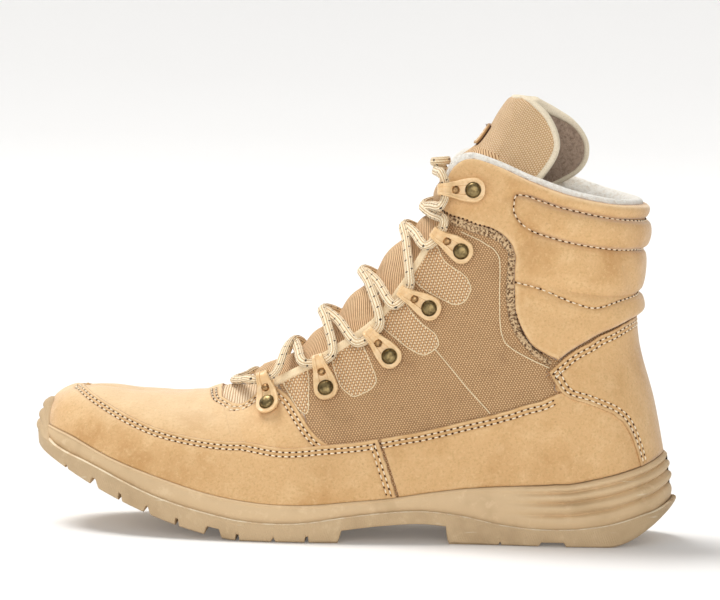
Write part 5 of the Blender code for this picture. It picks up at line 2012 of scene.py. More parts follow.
@dataclass
class Trim:
    """The knitted trim along the cuff's edge on the textile, with the row that holds it."""

    width: float = 0.0048
    height: float = 0.0016

    def build(self, sewing: Stitching) -> None:
        """Makes the trim on both sides.

        Args:
            sewing: The stitching to add to.
        """
        line = row_on_skin(CUFF_EDGE)
        middle = LAST.aside(line, -0.3 * self.width)
        inside = middle[(middle[:, 1] < 0.995) & (middle[:, 1] > 0.375)]
        shape = Shape()
        for sided in both_sides(inside):
            up = LAST.normal(*sided.T)
            points = LAST.skin(*sided.T) - up * 0.0007
            ends = [0, 3, len(points) - 30, len(points) - 1]
            scale = np.interp(np.arange(len(points)), ends, [0.6, 1, 1, 0.45])
            shape.tube(points, oval(self.width, self.height * 1.7, 14, 0.8), up=up, scale=scale)
        dress(shape.make("cuff_trim", [Knit().material()], mend=True), "binding")
        # Only the needle holes of the holding row are made: dark dots of painted shade
        row = LAST.aside(line, 0.0004)
        row = row[(row[:, 1] < 0.985) & (row[:, 1] > 0.41)]
        dots = Stitching(pitch=0.0021, hole=0.00052, holes=sewing.holes)
        for sided in both_sides(row):
            dots.sew(sided, 0.0011)


# Collar


CUFF = (
    (0.551, 0.914, 0.402),
    (0.585, 0.891, 0.435),
    (0.640, 0.881, 0.510),
    (0.700, 0.886, 0.580),
    (0.760, 0.892, 0.650),
    (0.810, 0.897, 0.710),
    (0.870, 0.890, 0.757),
    (0.925, 0.858, 0.792),
    (0.958, 0.828, 0.885),
    (0.982, 0.800, 0.980),
)
CUFF_COLUMNS = (0.92, 0.937, 0.953, 0.97, 0.985, 1.0)
# Rows of the cuff where its padding is sewn down, with the height there and of the roll above
CHANNELS = (
    (0.0, 0.0006, 0.0046), (2.0, 0.0016, 0.0046), (5.0, 0.0024, 0.0053), (7.0, 0.0018, 0.0040),
    (9.0, 0.0009, 0.0),
)
CUFF_LOOP = (
    (1.000, 0.921), (0.991, 0.918), (0.962, 0.926), (0.948, 0.930), (0.932, 0.924), (0.916, 0.921),
    (0.909, 0.905), (0.907, 0.880), (0.905, 0.848), (0.907, 0.827), (0.915, 0.811), (0.934, 0.810),
    (0.951, 0.814), (0.969, 0.813), (1.000, 0.807),
)
CUFF_SECOND = ((0.891, 0.619), (0.919, 0.621), (0.936, 0.601), (0.948, 0.592), (0.965, 0.619), (1.000, 0.641))

# Wrinkles of the padding, in the form of CREASES
WRINKLES = (
    (((0.925, 0.72), (0.935, 0.66), (0.930, 0.60)), 0.0005, 0.0030),
    (((0.965, 0.60), (0.975, 0.66), (0.970, 0.74)), 0.0005, 0.0035),
    (((0.905, 0.56), (0.925, 0.54), (0.945, 0.56)), 0.0006, 0.0030),
    (((0.900, 0.66), (0.915, 0.70), (0.925, 0.76)), -0.0004, 0.0040),
)


@dataclass
class Cuff:
    """The padded collar: quilted leather outside, a fleece roll over its top and down the inside."""

    leather: float = 0.0011
    thickness: float = 0.0016

    def surface_grid(self, columns: int, rows: int) -> tuple[Array, Array, Array]:
        """Sigma, v and height of the outer face.

        Args:
            columns: Number of columns.
            rows: Number of rows.

        Returns:
            The three arrays.
        """
        table = np.array(CUFF)
        lowest = spline(COUNTER_TOP, np.array(CUFF_COLUMNS))[:, 0] + table[0, 0] - 0.545
        half = []
        for column, low in zip(CUFF_COLUMNS, lowest):
            squeeze = (table[2, 0] - low) / (table[2, 0] - table[0, 0])
            low_rows = table[:, 0] < table[2, 0]
            v = np.where(low_rows, table[2, 0] - (table[2, 0] - table[:, 0]) * squeeze, table[:, 0])
            half.append(np.column_stack([np.full(len(v), column), v]))
        front = table[:, 1:3]
        half = [front + (half[0] - front) * share for share in (0.0, 0.25, 0.5, 0.75)] + half
        grid = np.array(half)
        other = grid[-2::-1].copy()
        other[..., 0] = 2 - other[..., 0]
        grid = np.concatenate([grid, other])
        at = np.linspace(0, len(grid) - 1, columns)
        flat = np.column_stack([np.arange(len(grid)), grid.reshape(len(grid), -1)])
        grid = spline(flat, at).reshape(columns, -1, 2)
        up = np.linspace(0, len(table) - 1, rows)
        flat = np.column_stack([np.arange(len(table)), grid.transpose(1, 0, 2).reshape(len(table), -1)])
        grid = spline(flat, up).reshape(rows, columns, 2).transpose(1, 0, 2)
        sigma, v = grid[..., 0], np.minimum(grid[..., 1], 1.0)
        keys = np.array(CHANNELS)
        index = np.clip(np.searchsorted(keys[:, 0], up, side="right") - 1, 0, len(keys) - 2)
        share = (up - keys[index, 0]) / (keys[index + 1, 0] - keys[index, 0])
        valley = keys[index, 1] + (keys[index + 1, 1] - keys[index, 1]) * share
        pillow = np.clip(4 * share * (1 - share), 0, 1) ** 0.60
        height = valley + (keys[index, 2] - valley) * pillow
        fade = ease(1 - np.abs(sigma - 1), 0.868, 0.932)
        flat_height = self.leather - 0.0006 * (1 - ease(np.arange(rows), 0, 2)[None, :])
        return sigma, v, flat_height + (height[None, :] - flat_height) * fade

    def build(self, surface: bpy.types.Material, sewing: Stitching) -> None:
        """Makes leather and roll.

        Args:
            surface: The leather.
            sewing: The stitching to add to.
        """
        sigma, v, height = self.surface_grid(190, 110)
        base = LAST.skin(sigma, v)
        lines = (row_on_skin(CUFF_LOOP), row_on_skin(CUFF_SECOND))
        seams = [way for line in lines for way in (line, past_heel(line))]
        seam = distances(base, [LAST.skin(*line.T) for line in seams])
        borders = [base[0], base[-1], base[:, 0], base[:, -1]]
        edge = distances(base, borders)
        near = np.clip(1 - edge / 0.0009, 0, 1)
        fold = 0.0012 * np.exp(-((seam / 0.0011) ** 2))
        wrinkle = np.zeros(sigma.shape)
        for course, deep, wide in WRINKLES:
            line = row_on_skin(course)
            apart = distances(base, [LAST.skin(*way.T) for way in (line, past_heel(line))])
            wrinkle += deep * np.exp(-((apart / wide) ** 2))
        height = height - 0.0009 * (1 - np.sqrt(1 - near**2)) - np.minimum(fold, height * 0.7) - wrinkle
        normal = LAST.normal(sigma, v)
        shape = Shape()
        shape.grid(base + normal * height[..., None], edge=edge, seam=seam)
        obj = shape.make("cuff_leather", [surface], wall=self.thickness)
        dress(obj, "nubuck", "collar_cuff")
        tree = tree_of(base.reshape(-1, 3))
        for line in seams:
            points = LAST.skin(*line.T)
            near_height = np.array([height.ravel()[tree.find(point)[1]] for point in points])
            smooth = np.convolve(np.pad(near_height, 3, mode="edge"), np.ones(7) / 7, mode="valid")
            sewing.sew(line, smooth + 0.0001)
        self.roll()

    def roll(self) -> None:
        """The fleece roll over the collar's top, down its inside."""
        profile = (
            (0.966, -0.0006), (0.978, 0.0004), (0.990, 0.0004), (0.998, -0.0003), (1.000, -0.0016),
            (1.000, -0.0034), (0.994, -0.0050), (0.975, -0.0066), (0.935, -0.0078), (0.880, -0.0078),
            (0.820, -0.0070), (0.760, -0.0060), (0.700, -0.0046), (0.690, -0.0040), (0.780, -0.0036),
            (0.900, -0.0030), (0.950, -0.0020),
        )
        closed = np.array([*profile, profile[0]])
        places = np.linspace(0, len(profile), 52)[:-1]
        course = spline(np.column_stack([np.arange(len(closed)), closed]), places)
        side = np.linspace(0.795, 1.0, 130)
        sigma = np.concatenate([side, 2 - side[-2::-1]])
        tuft = np.random.default_rng(4).normal(0, 0.00016, (len(sigma), len(course)))
        rings = [
            LAST.raised(sigma, np.full(len(sigma), min(v, 1.0)), fill(h, sigma) + tuft[:, k])
            for k, (v, h) in enumerate(course)
        ]
        shape = Shape()
        shape.loft(np.stack(rings, 1))
        white = Fleece("collar_fleece").material()
        # The roll's inner part takes a brown copy of the fleece: partly the lining's own colour, partly
        # painted shade inside the collar
        brown = Fleece("collar_inside", srgb(164, 138, 116), srgb(112, 90, 72)).material()
        inside = np.tile((np.arange(len(course)) > 26).astype(int), len(sigma) - 1).tolist()
        shape.slots = inside + [0, 0]
        dress(shape.make("collar_lining", [white, brown], mend=True), "fleece")


# Tongue


@dataclass
class Tongue:
    """The padded tongue: ribbed front, woven wings, bound edges, fleece back and a blank patch."""

    thickness: float = 0.0045
    ribbed_to: float = 0.66
    ribbed_rows: float = 10.9
    patch_rows: tuple[float, float] = (10.9, 12.2)
    patch_half: float = 0.24
    patch_thickness: float = 0.0012

    def face(self, rows: Array, across: Array) -> tuple[Array, Array]:
        """Points and outward normals of the outer face.

        Args:
            rows: Rows of the tongue.
            across: Places across it, from -1 to 1.

        Returns:
            The points and the normals.
        """
        points = np.array([LAST.tongue(float(row), across) for row in rows])
        normal = unit(np.cross(np.gradient(points, axis=0), np.gradient(points, axis=1)))
        return points, normal

    def build(self, leather: bpy.types.Material, sewing: Stitching) -> None:
        """Makes tongue, binding and patch.

        Args:
            leather: The leather.
            sewing: The stitching to add to.
        """
        rows, across = np.linspace(0, 15, 170), np.linspace(-1, 1, 61)
        points, normal = self.face(rows, across)
        run = np.cumsum(np.linalg.norm(np.diff(points, axis=0, prepend=points[:1]), axis=-1), axis=0)
        wide = np.cumsum(np.linalg.norm(np.diff(points, axis=1, prepend=points[:, :1]), axis=-1), axis=1)
        centre = len(across) // 2
        wide = wide - wide[:, centre : centre + 1]
        seam_row = np.abs(np.abs(across) - self.ribbed_to)
        dip = 0.0005 * np.exp(-((seam_row / 0.035) ** 2))[None, :]
        held = np.array([0.0, BAR[0], *(LAST.tongue_row(s) for s, _ in CROSSINGS), TIE[0], 11.0])
        last = np.clip(np.searchsorted(held, rows, side="right") - 1, 0, len(held) - 2)
        swell = np.sin(np.clip((rows - held[last]) / (held[last + 1] - held[last]), 0, 1) * math.pi) ** 2
        swell = swell * (held[last + 1] - held[last]) * 0.0017 * (rows < TIE[0])
        puff = (0.0003 + swell)[:, None] * np.clip(1 - (across / 0.6) ** 2, 0, 1)[None, :] ** 2
        shape = Shape()
        middle = np.repeat(run[:, centre : centre + 1], len(across), axis=1)
        uv = np.stack([wide, middle], -1)
        shape.grid(points + normal * (puff - dip)[..., None], 0, uv, tab=fill(-FAR, run))
        mid_row = np.repeat((rows[:-1] + rows[1:]) / 2, len(across) - 1)
        mid_across = np.tile((across[:-1] + across[1:]) / 2, len(rows) - 1)
        front = (np.abs(mid_across) < self.ribbed_to) & (mid_row < self.ribbed_rows)
        shape.slots = np.where(mid_row < 1.25, 2, front.astype(int)).tolist()
        wing = {"base": srgb(242, 202, 154), "light": srgb(255, 242, 208), "shade": srgb(176, 128, 84)}
        weave = Weave(Zone.TONGUE, (0.00060, 0.00090), 0.5, **wing).material()
        ribs = Ribbed("tongue_rib", 0.0013, 0.7).material()
        tones = (srgb(234, 206, 168), srgb(255, 242, 216), srgb(140, 100, 66))
        pale = Ribbed("notch_rib", 0.0016, 0.0, *tones).material()
        # The fleece back is drawn grey-brown: partly its own colour, partly painted shade behind the tongue
        fleece = Fleece("tongue_fleece", srgb(182, 156, 134), srgb(130, 106, 88)).material()
        surfaces = [weave, ribs, pale, fleece, fleece, fleece]
        obj = shape.make("tongue_pad", surfaces, wall=self.thickness, inner=3)
        dress(obj, "textile", "tongue")
        self.binding(points, normal)
        self.patch(leather, sewing)

    def binding(self, points: Array, normal: Array) -> None:
        """The bound edge round the tongue's top and wings.

        Args:
            points: Points of the outer face.
            normal: Outward directions there.
        """
        start, top, far = 62, points.shape[0] - 1, points.shape[1] - 1
        way = [(i, 0) for i in range(start, top + 1, 2)] + [(top, j) for j in range(2, far, 2)]
        way += [(i, far) for i in range(top, start, -2)]
        middle = np.array([points[i, j] - normal[i, j] * self.thickness * 0.5 for i, j in way])
        up = np.array([normal[i, j] for i, j in way])
        keys = np.arange(len(middle))
        fine = np.linspace(0, len(middle) - 1, len(middle) * 2)
        smooth = spline(np.column_stack([keys, middle, up]), fine)
        shape = Shape()
        section = oval(0.0030, self.thickness + 0.0014, 14, 0.75)
        shape.tube(smooth[:, :3], section, up=unit(smooth[:, 3:]))
        surface = Plain("edge_binding", srgb(232, 220, 196), srgb(196, 178, 148), 0.0005).material()
        dress(shape.make("tongue_binding", [surface], mend=True), "binding")

    def patch(self, leather: bpy.types.Material, sewing: Stitching) -> None:
        """The blank patch under the tongue's top.

        Args:
            leather: The leather.
            sewing: The stitching to add to.
        """
        t = np.linspace(-1, 1, 31)
        a, b = np.meshgrid(t, t, indexing="ij")
        corner = 0.16 * np.clip(np.abs(a) ** 8 * np.abs(b) ** 8, 0, 1)
        a, b = a * (1 - corner), b * (1 - corner)
        low, high = self.patch_rows
        points = np.empty(a.shape + (3,))
        normal = np.empty(a.shape + (3,))
        for i in range(len(t)):
            for j in range(len(t)):
                row = (low + high) / 2 + a[i, j] * (high - low) / 2
                x = b[i, j] * self.patch_half
                trio = LAST.tongue(row, np.array([x - 0.01, x, x + 0.01]))
                ahead = LAST.tongue(row + 0.02, np.array([x]))[0] - LAST.tongue(row - 0.02, np.array([x]))[0]
                points[i, j] = trio[1]
                normal[i, j] = unit(np.cross(ahead, trio[2] - trio[0]))
        edge = np.minimum(1 - np.abs(a), 1 - np.abs(b)) * 0.009
        near = np.clip(1 - edge / 0.0006, 0, 1)
        height = self.patch_thickness + 0.0006 - 0.0005 * near**2
        shape = Shape()
        shape.grid(points + normal * height[..., None], edge=edge, seam=np.abs(edge - 0.0018))
        dress(shape.make("patch_leather", [leather], wall=self.patch_thickness), "nubuck", "tongue_patch")
        # Painted shadow: a dark tube along the patch's lateral edge, in the hole colour, stands for the
        # shadow under the patch
        under = points[:, 0] + normal[:, 0] * 0.0002
        sewing.holes.tube(under, oval(0.0014, 0.0012, 8))
        turn = np.linspace(0, math.tau, 64, endpoint=True)
        ring = np.stack([np.cos(turn), np.sin(turn)])
        ring = np.sign(ring) * np.abs(ring) ** 0.35 * 0.80
        index = np.clip(np.round((ring + 1) / 2 * (len(t) - 1)).astype(int), 0, len(t) - 1)
        line = points[index[0], index[1]] + normal[index[0], index[1]] * (self.patch_thickness + 0.0005)
        sewing.sew_points(line, normal[index[0], index[1]], 0.8)


# Sole


TOE_LUG_END = 0.094
SIDE_LUGS = ((0.109, 0.182), (0.194, 0.278), (0.306, 0.381), (0.389, 0.483), (0.652, 0.727), (0.732, 0.788))
HEEL_LUG_START = 0.831
SIPES = (0.055, 0.145, 0.236, 0.330, 0.436)
WALL_PROFILE = (
    (0.00, 0.0000), (0.10, 0.0006), (0.24, 0.0010), (0.31, 0.0004), (0.345, -0.0008), (0.39, 0.0004),
    (0.47, 0.0016), (0.56, 0.0013), (0.615, -0.0006), (0.66, 0.0006), (0.73, 0.0016), (0.80, 0.0010),
    (0.835, -0.0006), (0.88, 0.0006), (0.95, 0.0010), (1.00, 0.0000),
)


@dataclass
class Sole:
    """Midsole sidewall, rib line and lugged outsole with its toe bumper."""

    rim_width: float = 0.0017
    rim_height: float = 0.0015
    seam: float = 0.0008
    seat: float = 0.0006
    lip: float = 0.0010
    lug_height: float = 0.0045
    arch_plate: float = 0.0045
    draft: float = 0.0016
    chamfer: float = 0.0015
    sipe: float = 0.0012
    bumper_v: tuple[float, float] = (0.22, 0.36)
    bumper_width: float = 0.0026

    def midsole(self) -> None:
        """The sidewall, with moulded ridges round the heel."""
        stations = np.concatenate([np.linspace(0, 0.8, 150, endpoint=False), np.linspace(0.8, 1, 90)])
        share = np.linspace(0, 1, 48)
        ridge = spline(WALL_PROFILE, share)[:, 0]
        halves = []
        for sign in (1, -1):
            sigma = sign * stations
            out = LAST.outward(sigma)[:, None]
            bottom = (LAST.sole_edge(sigma) - out[:, 0] * (self.rim_width + self.seam))[:, None]
            top = (LAST.feather(sigma) + out[:, 0] * self.lip)[:, None]
            low = LAST.rib(LAST.sole_edge(sigma)[:, 0]) + self.seat
            high = top[:, 0, 2] + 0.0002
            strength = ease(stations, 0.76, 0.90)[:, None]
            belly = 0.0006 * np.sin(share * math.pi)[None, :] * (1 - strength)
            lipped = 0.0005 * np.exp(-(((share - 0.93) / 0.05) ** 2))[None, :] * (1 - strength)
            offset = ridge[None, :] * strength * 1.15 + belly + lipped
            points = bottom + (top - bottom) * share[None, :, None] + out * offset[..., None]
            points[..., 2] = low[:, None] + (high - low)[:, None] * share[None, :]
            halves.append(points)
        rings = np.concatenate([halves[0], halves[1][:, ::-1]], axis=1)
        shape = Shape()
        shape.loft(rings)
        surface = Rubber(Mould.SIDEWALL).material()
        dress(shape.make("sidewall", [surface], mend=True, angle=70), "rubber", "midsole")

    def rib_line(self) -> None:
        """The raised line between tread and sidewall, painted pale as a highlight."""
        sigma = np.linspace(-0.985, 0.985, 560)
        edge = LAST.sole_edge(sigma) - LAST.outward(sigma) * 0.0009
        edge[:, 2] = LAST.rib(LAST.sole_edge(sigma)[:, 0]) + self.rim_height * 0.75
        bumper = 1 - ease(np.abs(sigma), 0.05, 0.085)
        edge -= LAST.outward(sigma) * (bumper * 0.0012)[:, None]
        shape = Shape()
        shape.tube(edge, oval(0.0019, 0.0016, 10))
        surface = Rubber(Mould.RIB).material()
        dress(shape.make("rib_line", [surface], mend=True), "rubber")

    def heights(self, share: float) -> tuple[float, float, float]:
        """Heights of centre lug, groove and side lug at a share of the length.

        Args:
            share: Share of the sole's length.

        Returns:
            The three heights.
        """
        x = np.array((share - 0.5) * LAST.length)
        floor = float(LAST.ground(x))
        ceiling = float(LAST.rib(x)) - self.arch_plate
        gap = max(floor, min(floor + self.lug_height, ceiling))
        lugs = ((-1.0, TOE_LUG_END), *SIDE_LUGS, (HEEL_LUG_START, 2.0))
        draft = self.draft / LAST.length
        inside = max(min(share - start, end - share) for start, end in lugs)
        lug_share = float(ease(inside, -draft, 0.0002))
        arch_start, arch_end = SIDE_LUGS[3][1] + draft, SIDE_LUGS[4][0] - draft
        if arch_start < share < arch_end:
            return ceiling, ceiling, ceiling
        ends = max(min((share - 0.005) / 0.03, (0.995 - share) / 0.03, 1.0), 0.0)
        groove = floor + (gap - floor) * ends
        lug = groove + (floor - groove) * lug_share
        slit = min(abs(share - sipe) for sipe in SIPES) * LAST.length
        wall = self.sipe * 0.5
        side = lug + (groove - lug) * 0.85 * (1 - float(ease(slit, wall, wall + 0.0003)))
        return lug, groove, side

    def outsole(self) -> None:
        """The tread, up into the scalloped bumper at the toe."""
        draft = self.draft / LAST.length
        marks = [TOE_LUG_END, HEEL_LUG_START, *(end for lug in SIDE_LUGS for end in lug)]
        shares = [0.0]
        for way in (-1, 1):
            shares += [mark + way * draft * k for mark in marks for k in (0, 0.35, 0.7, 1.05)]
            shares += [sipe + way * d / LAST.length for sipe in SIPES for d in (0.0, 0.0005, 0.0007, 0.0010)]
        shares += list(np.linspace(0.012, 0.999, 230))
        stations = np.unique(np.round(np.concatenate([
            [0.0], np.linspace(0.004, 0.12, 40), LAST.sigma_at(np.array(sorted(shares))), [1.0]
        ]), 5))
        rings = []
        for s in stations:
            edges = [LAST.sole_edge(np.array(sign * s)) for sign in (1, -1)]
            outs = [LAST.outward(np.array(sign * s)) for sign in (1, -1)]
            share = float(edges[0][0]) / LAST.length + 0.5
            centre_z, groove_z, side_z = self.heights(share)
            rib_z = float(LAST.rib(edges[0][:1])[0])
            toes = [edge - out * self.chamfer for edge, out in zip(edges, outs)]
            middle = (toes[0] + toes[1]) / 2
            bumper = 1 - float(ease(s, 0.012, 0.066))
            halves = []
            for sign, edge, toe, out in zip((1, -1), edges, toes, outs):
                sigma = np.array(sign * s)
                rim_z = rib_z + self.rim_height
                inner = np.array([*(edge - out * self.rim_width)[:2], rim_z])
                steps = np.linspace(0, 1, 16)
                low_v, high_v = self.bumper_v
                wall_v = low_v + (high_v - low_v) * steps
                wall = LAST.raised(sigma, wall_v, fill(0.0012, wall_v))
                ledge = LAST.feather(sigma) + out * (self.lip + 0.0004)
                outer = np.array([*edge[:2], rim_z])
                bumps = 0.0012 * np.abs(np.sin(steps * math.pi * 3)) ** 0.6
                face = []
                for t, bump in zip(steps, bumps):
                    straight = outer + (wall[-1] + out * self.bumper_width * 0.7 - outer) * t
                    point = straight + out * (0.0010 * math.sin(t * math.pi) + bump) * bumper
                    face.append(outer + (point - outer) * bumper + (inner - outer) * (1 - bumper) * t)
                back = [inner + (point - inner) * bumper for point in (*wall[::-3], ledge)]
                bottom = [(0.0, centre_z), (0.27, centre_z), (0.30, centre_z + 0.0004), (0.35, groove_z)]
                bottom += [(0.46, groove_z), (0.52, side_z + 0.0004)]
                bottom += [(k, side_z) for k in (0.55, 0.80, 0.94)]
                half = [np.array([*(middle + (toe - middle) * k)[:2], z]) for k, z in bottom]
                flat = toe - (toe - middle) * 0.02
                half.append(np.array([*flat[:2], side_z + 0.0001]))
                side_wall = edge - toe
                for k, rise in ((0.45, 0.10), (0.75, 0.25), (0.90, 0.55), (1.0, 0.92), (1.0, 1.0)):
                    z = side_z + (rib_z - side_z) * rise
                    half.append(np.array([*(toe + side_wall * k)[:2], z]))
                half.append(np.array([*(edge + out * 0.0002)[:2], rib_z + 0.0007]))
                half += face + back + [np.array([*inner[:2], rib_z])]
                halves.append(half)
            rings.append(halves[0] + halves[1][:0:-1])
        shape = Shape()
        shape.loft(np.array(rings))
        surface = Rubber(Mould.TREAD, srgb(194, 168, 132), srgb(214, 191, 154), srgb(160, 133, 99)).material()
        dress(shape.make("tread", [surface], mend=True, angle=38), "tread_rubber", "outsole")

    def insole(self) -> None:
        """The footbed, cupped a little at its border."""
        stations = np.concatenate([[0.0], np.linspace(0.01, 0.99, 120), [1.0]])
        rings = []
        for s in stations:
            feet = []
            for sign in (1, -1):
                sigma = np.array(sign * s)
                feet.append(LAST.feather(sigma) - LAST.outward(sigma) * 0.0067)
            low = feet[0][2] - 0.0003
            top = low + 0.0040
            ring = [[*feet[0][:2], low], [*feet[1][:2], low], [*feet[1][:2], top - 0.0006]]
            for k in np.linspace(0.985, 0.015, 17):
                cup = 0.0011 * abs(2 * k - 1) ** 3 - 0.0006
                flat = (feet[0] + (feet[1] - feet[0]) * k)[:2]
                ring.append([*flat, top + cup * min(1.0, 8 * min(s, 1 - s))])
            ring.append([*feet[0][:2], top - 0.0006])
            rings.append(ring)
        shape = Shape()
        shape.loft(np.array(rings))
        tones = (srgb(170, 150, 124), srgb(196, 178, 150), srgb(120, 102, 80))
        surface = Ribbed("insole_cloth", 0.0013, 0.0, *tones).material()
        piece = dress(shape.make("footbed", [surface], mend=True), "fleece", "insole")

    def build(self) -> None:
        """Makes the sole."""
        self.midsole()
        self.rib_line()
        self.outsole()
        self.insole()


# Lace loops


LOOPS = (
    (0.469, 0.778, 0.480, 0.985, 0.0005),
    (0.554, 0.765, 0.560, 0.970, -0.0002),
    (0.647, 0.755, 0.631, 0.944, -0.0002),
    (0.725, 0.780, 0.694, 0.943, -0.0002),
    (0.826, 0.777, 0.772, 0.969, -0.0002),
    (0.868, 0.885, 0.832, 0.958, 0.0024),
)

# Radius and height, in millimetres
RIVET = (
    (3.75, -0.90), (3.78, 0.30), (3.70, 0.50), (3.56, 0.52), (3.46, 0.36), (3.40, 0.24), (3.30, 0.60),
    (3.08, 0.98), (2.64, 1.34), (2.02, 1.60), (1.30, 1.74), (0.60, 1.80), (0.08, 1.81),
)
SMALL_RIVET = (
    (1.95, -0.90), (1.95, 1.10), (1.80, 1.26), (1.66, 1.10), (1.56, 1.32), (1.20, 1.60), (0.70, 1.74),
    (0.05, 1.78),
)


@dataclass
class Loops:
    """Coated plates folded round the lace, each held by a domed rivet."""

    length: float = 0.0165
    width: float = 0.0112
    strip: float = 0.0010
    tunnel: float = 0.0048
    gap: float = 0.0003
    channel: float = 0.00060
    small_rivet: float = 0.0082

    def frame(self, number: int, side: Side) -> Matrix:
        """Place of a loop: x from the rivet to the tip, y across, z out of the leather.

        Args:
            number: The loop's number, from 0.
            side: The side of the boot.

        Returns:
            The place, as a matrix.
        """
        s, v, tip_s, tip_v, height = LOOPS[number]
        sigma = np.array(side.value * s)
        at = LAST.raised(sigma, np.array(v), np.array(height))
        out = LAST.normal(sigma, np.array(v))
        to_tip = LAST.skin(np.array(side.value * tip_s), np.array(tip_v)) - LAST.skin(sigma, np.array(v))
        along = unit(to_tip - (to_tip @ out) * out)
        across = np.cross(out, along)
        return Matrix([[along[i], across[i], out[i], at[i]] for i in range(3)] + [[0, 0, 0, 1]])

    def placed(self, points: Array, frame: Matrix) -> Array:
        """Points of a loop's own place, on the boot."""
        turn = np.array(frame)
        return points.reshape(-1, 3) @ turn[:3, :3].T + turn[:3, 3]

    def plate(self) -> Array:
        """Rings of the folded strip.

        Returns:
            The rings.
        """
        top = self.tunnel + 1.5 * self.strip
        reach = self.length - self.tunnel / 2 - self.strip
        fold = (self.tunnel + self.strip) / 2
        close = 1.5 * self.strip + self.gap
        half = 0.5 * self.strip
        long, wide, strip = self.length, self.width, self.strip
        path = [
            (-0.30 * wide, half, 0.75), (0.10 * long, half, 0.80), (0.45 * long, half, 0.68),
            (reach, half, 0.52), (reach + 0.71 * fold, half + 0.29 * fold, 0.46),
            (reach + fold, half + fold, 0.43), (reach + 0.71 * fold, top - 0.29 * fold, 0.46),
            (reach, top, 0.51), (0.68 * long, top - 0.0006, 0.58), (0.58 * long, close + 1.9 * strip, 0.66),
            (0.48 * long, close + 0.8 * strip, 0.75), (0.36 * long, close + 0.1 * strip, 0.86),
            (0.24 * long, close, 0.94), (0.10 * long, close, 1.00), (0.0, close, 1.02),
            (-0.16 * wide, close, 1.00), (-0.30 * wide, close, 0.84), (-0.40 * wide, close, 0.66),
            (-0.47 * wide, close, 0.40), (-0.49 * wide, close, 0.14),
        ]
        weight = [1, 1, 0.006]
        line = flowing(np.array(path) * weight, 84) / weight
        way = unit(np.gradient(line[:, :2], axis=0))
        rings = []
        across = mirrored(np.array([0.0, 0.30, 0.38, 0.44, 0.50, 0.70, 0.78, 0.86, 0.93, 0.98]))
        for k, ((x, z, width), (dx, dz)) in enumerate(zip(line, way)):
            half_width = width * self.width / 2
            upper = k > 40
            channel = self.channel * float(ease(x, 0.0012, 0.0030) * (1 - ease(x, 0.0142, 0.0155))) * upper
            rim = 0.00025 * upper
            ring = [(-1.0, 0.0)]
            # The folded half is upside down, so its seen face is the lower one here
            for a in across:
                crown = 0.5 * self.strip * (0.6 if abs(a) > 0.95 else 1.0) + rim * (0.75 < abs(a) < 0.95)
                ring.append((a, channel * (abs(a) < 0.42) - crown))
            ring += [(1.0, 0.0)]
            ring += [(a, 0.5 * self.strip * (0.6 if abs(a) > 0.95 else 1.0)) for a in across[::-1]]
            rings.append([[x - dz * n, a * half_width, z + dx * n] for a, n in ring])
        return np.array(rings)

    def lathe(self, profile: Sequence, centre: tuple[float, float]) -> Array:
        """Rings of a turned form, by radius and height.

        Args:
            profile: Radius and height of each ring.
            centre: Where its axis stands.

        Returns:
            The rings.
        """
        sides = 36
        turn = np.linspace(0, math.tau, sides, endpoint=False)
        return np.array([
            np.column_stack([centre[0] + r * np.cos(turn), centre[1] + r * np.sin(turn), np.full(sides, z)])
            for r, z in profile
        ])

    def build(self) -> None:
        """Makes the plates and rivets, one piece of each a side."""
        coat = Plate().material()
        brass = Brass().material()
        dark = Brass("hollow_brass", srgb(186, 150, 106), srgb(92, 66, 42)).material()
        plate = self.plate()
        base = 2 * self.strip + 0.5 * self.gap
        head, small = ([(r * MM, base + z * MM) for r, z in form] for form in (RIVET, SMALL_RIVET))
        for side in Side:
            plates, rivets = Shape(), Shape()
            for number in range(len(LOOPS)):
                frame = self.frame(number, side)
                plates.loft(self.placed(plate, frame).reshape(plate.shape))
                for form, centre, slot in ((head, (0.0, 0.0), 0), (small, (self.small_rivet, 0.0), 1)):
                    rings = self.lathe(form, centre)
                    rivets.loft(self.placed(rings, frame).reshape(rings.shape), slot)
            names = [f"lace_loop_{side.word}_{number + 1}" for number in range(len(LOOPS))]
            obj = plates.make(f"loops_{side.word}", [coat], mend=True, angle=40)
            dress(obj, "coated_plate", *names)
            names = [f"rivet_{side.word}_{number + 1}" for number in range(len(LOOPS))]
            obj = rivets.make(f"rivets_{side.word}", [brass, dark], mend=True, angle=38)
            dress(obj, "antique_brass", *names)


# Lace


# Sigma and height over the tongue of each crossing, then the tongue rows and heights of bar and tie
CROSSINGS = ((0.533, 0.0050), (0.5975, 0.0074), (0.670, 0.0064), (0.744, 0.0050), (0.783, 0.0048))
BAR, TIE = (0.80, 0.0068), (9.2, 0.0055)


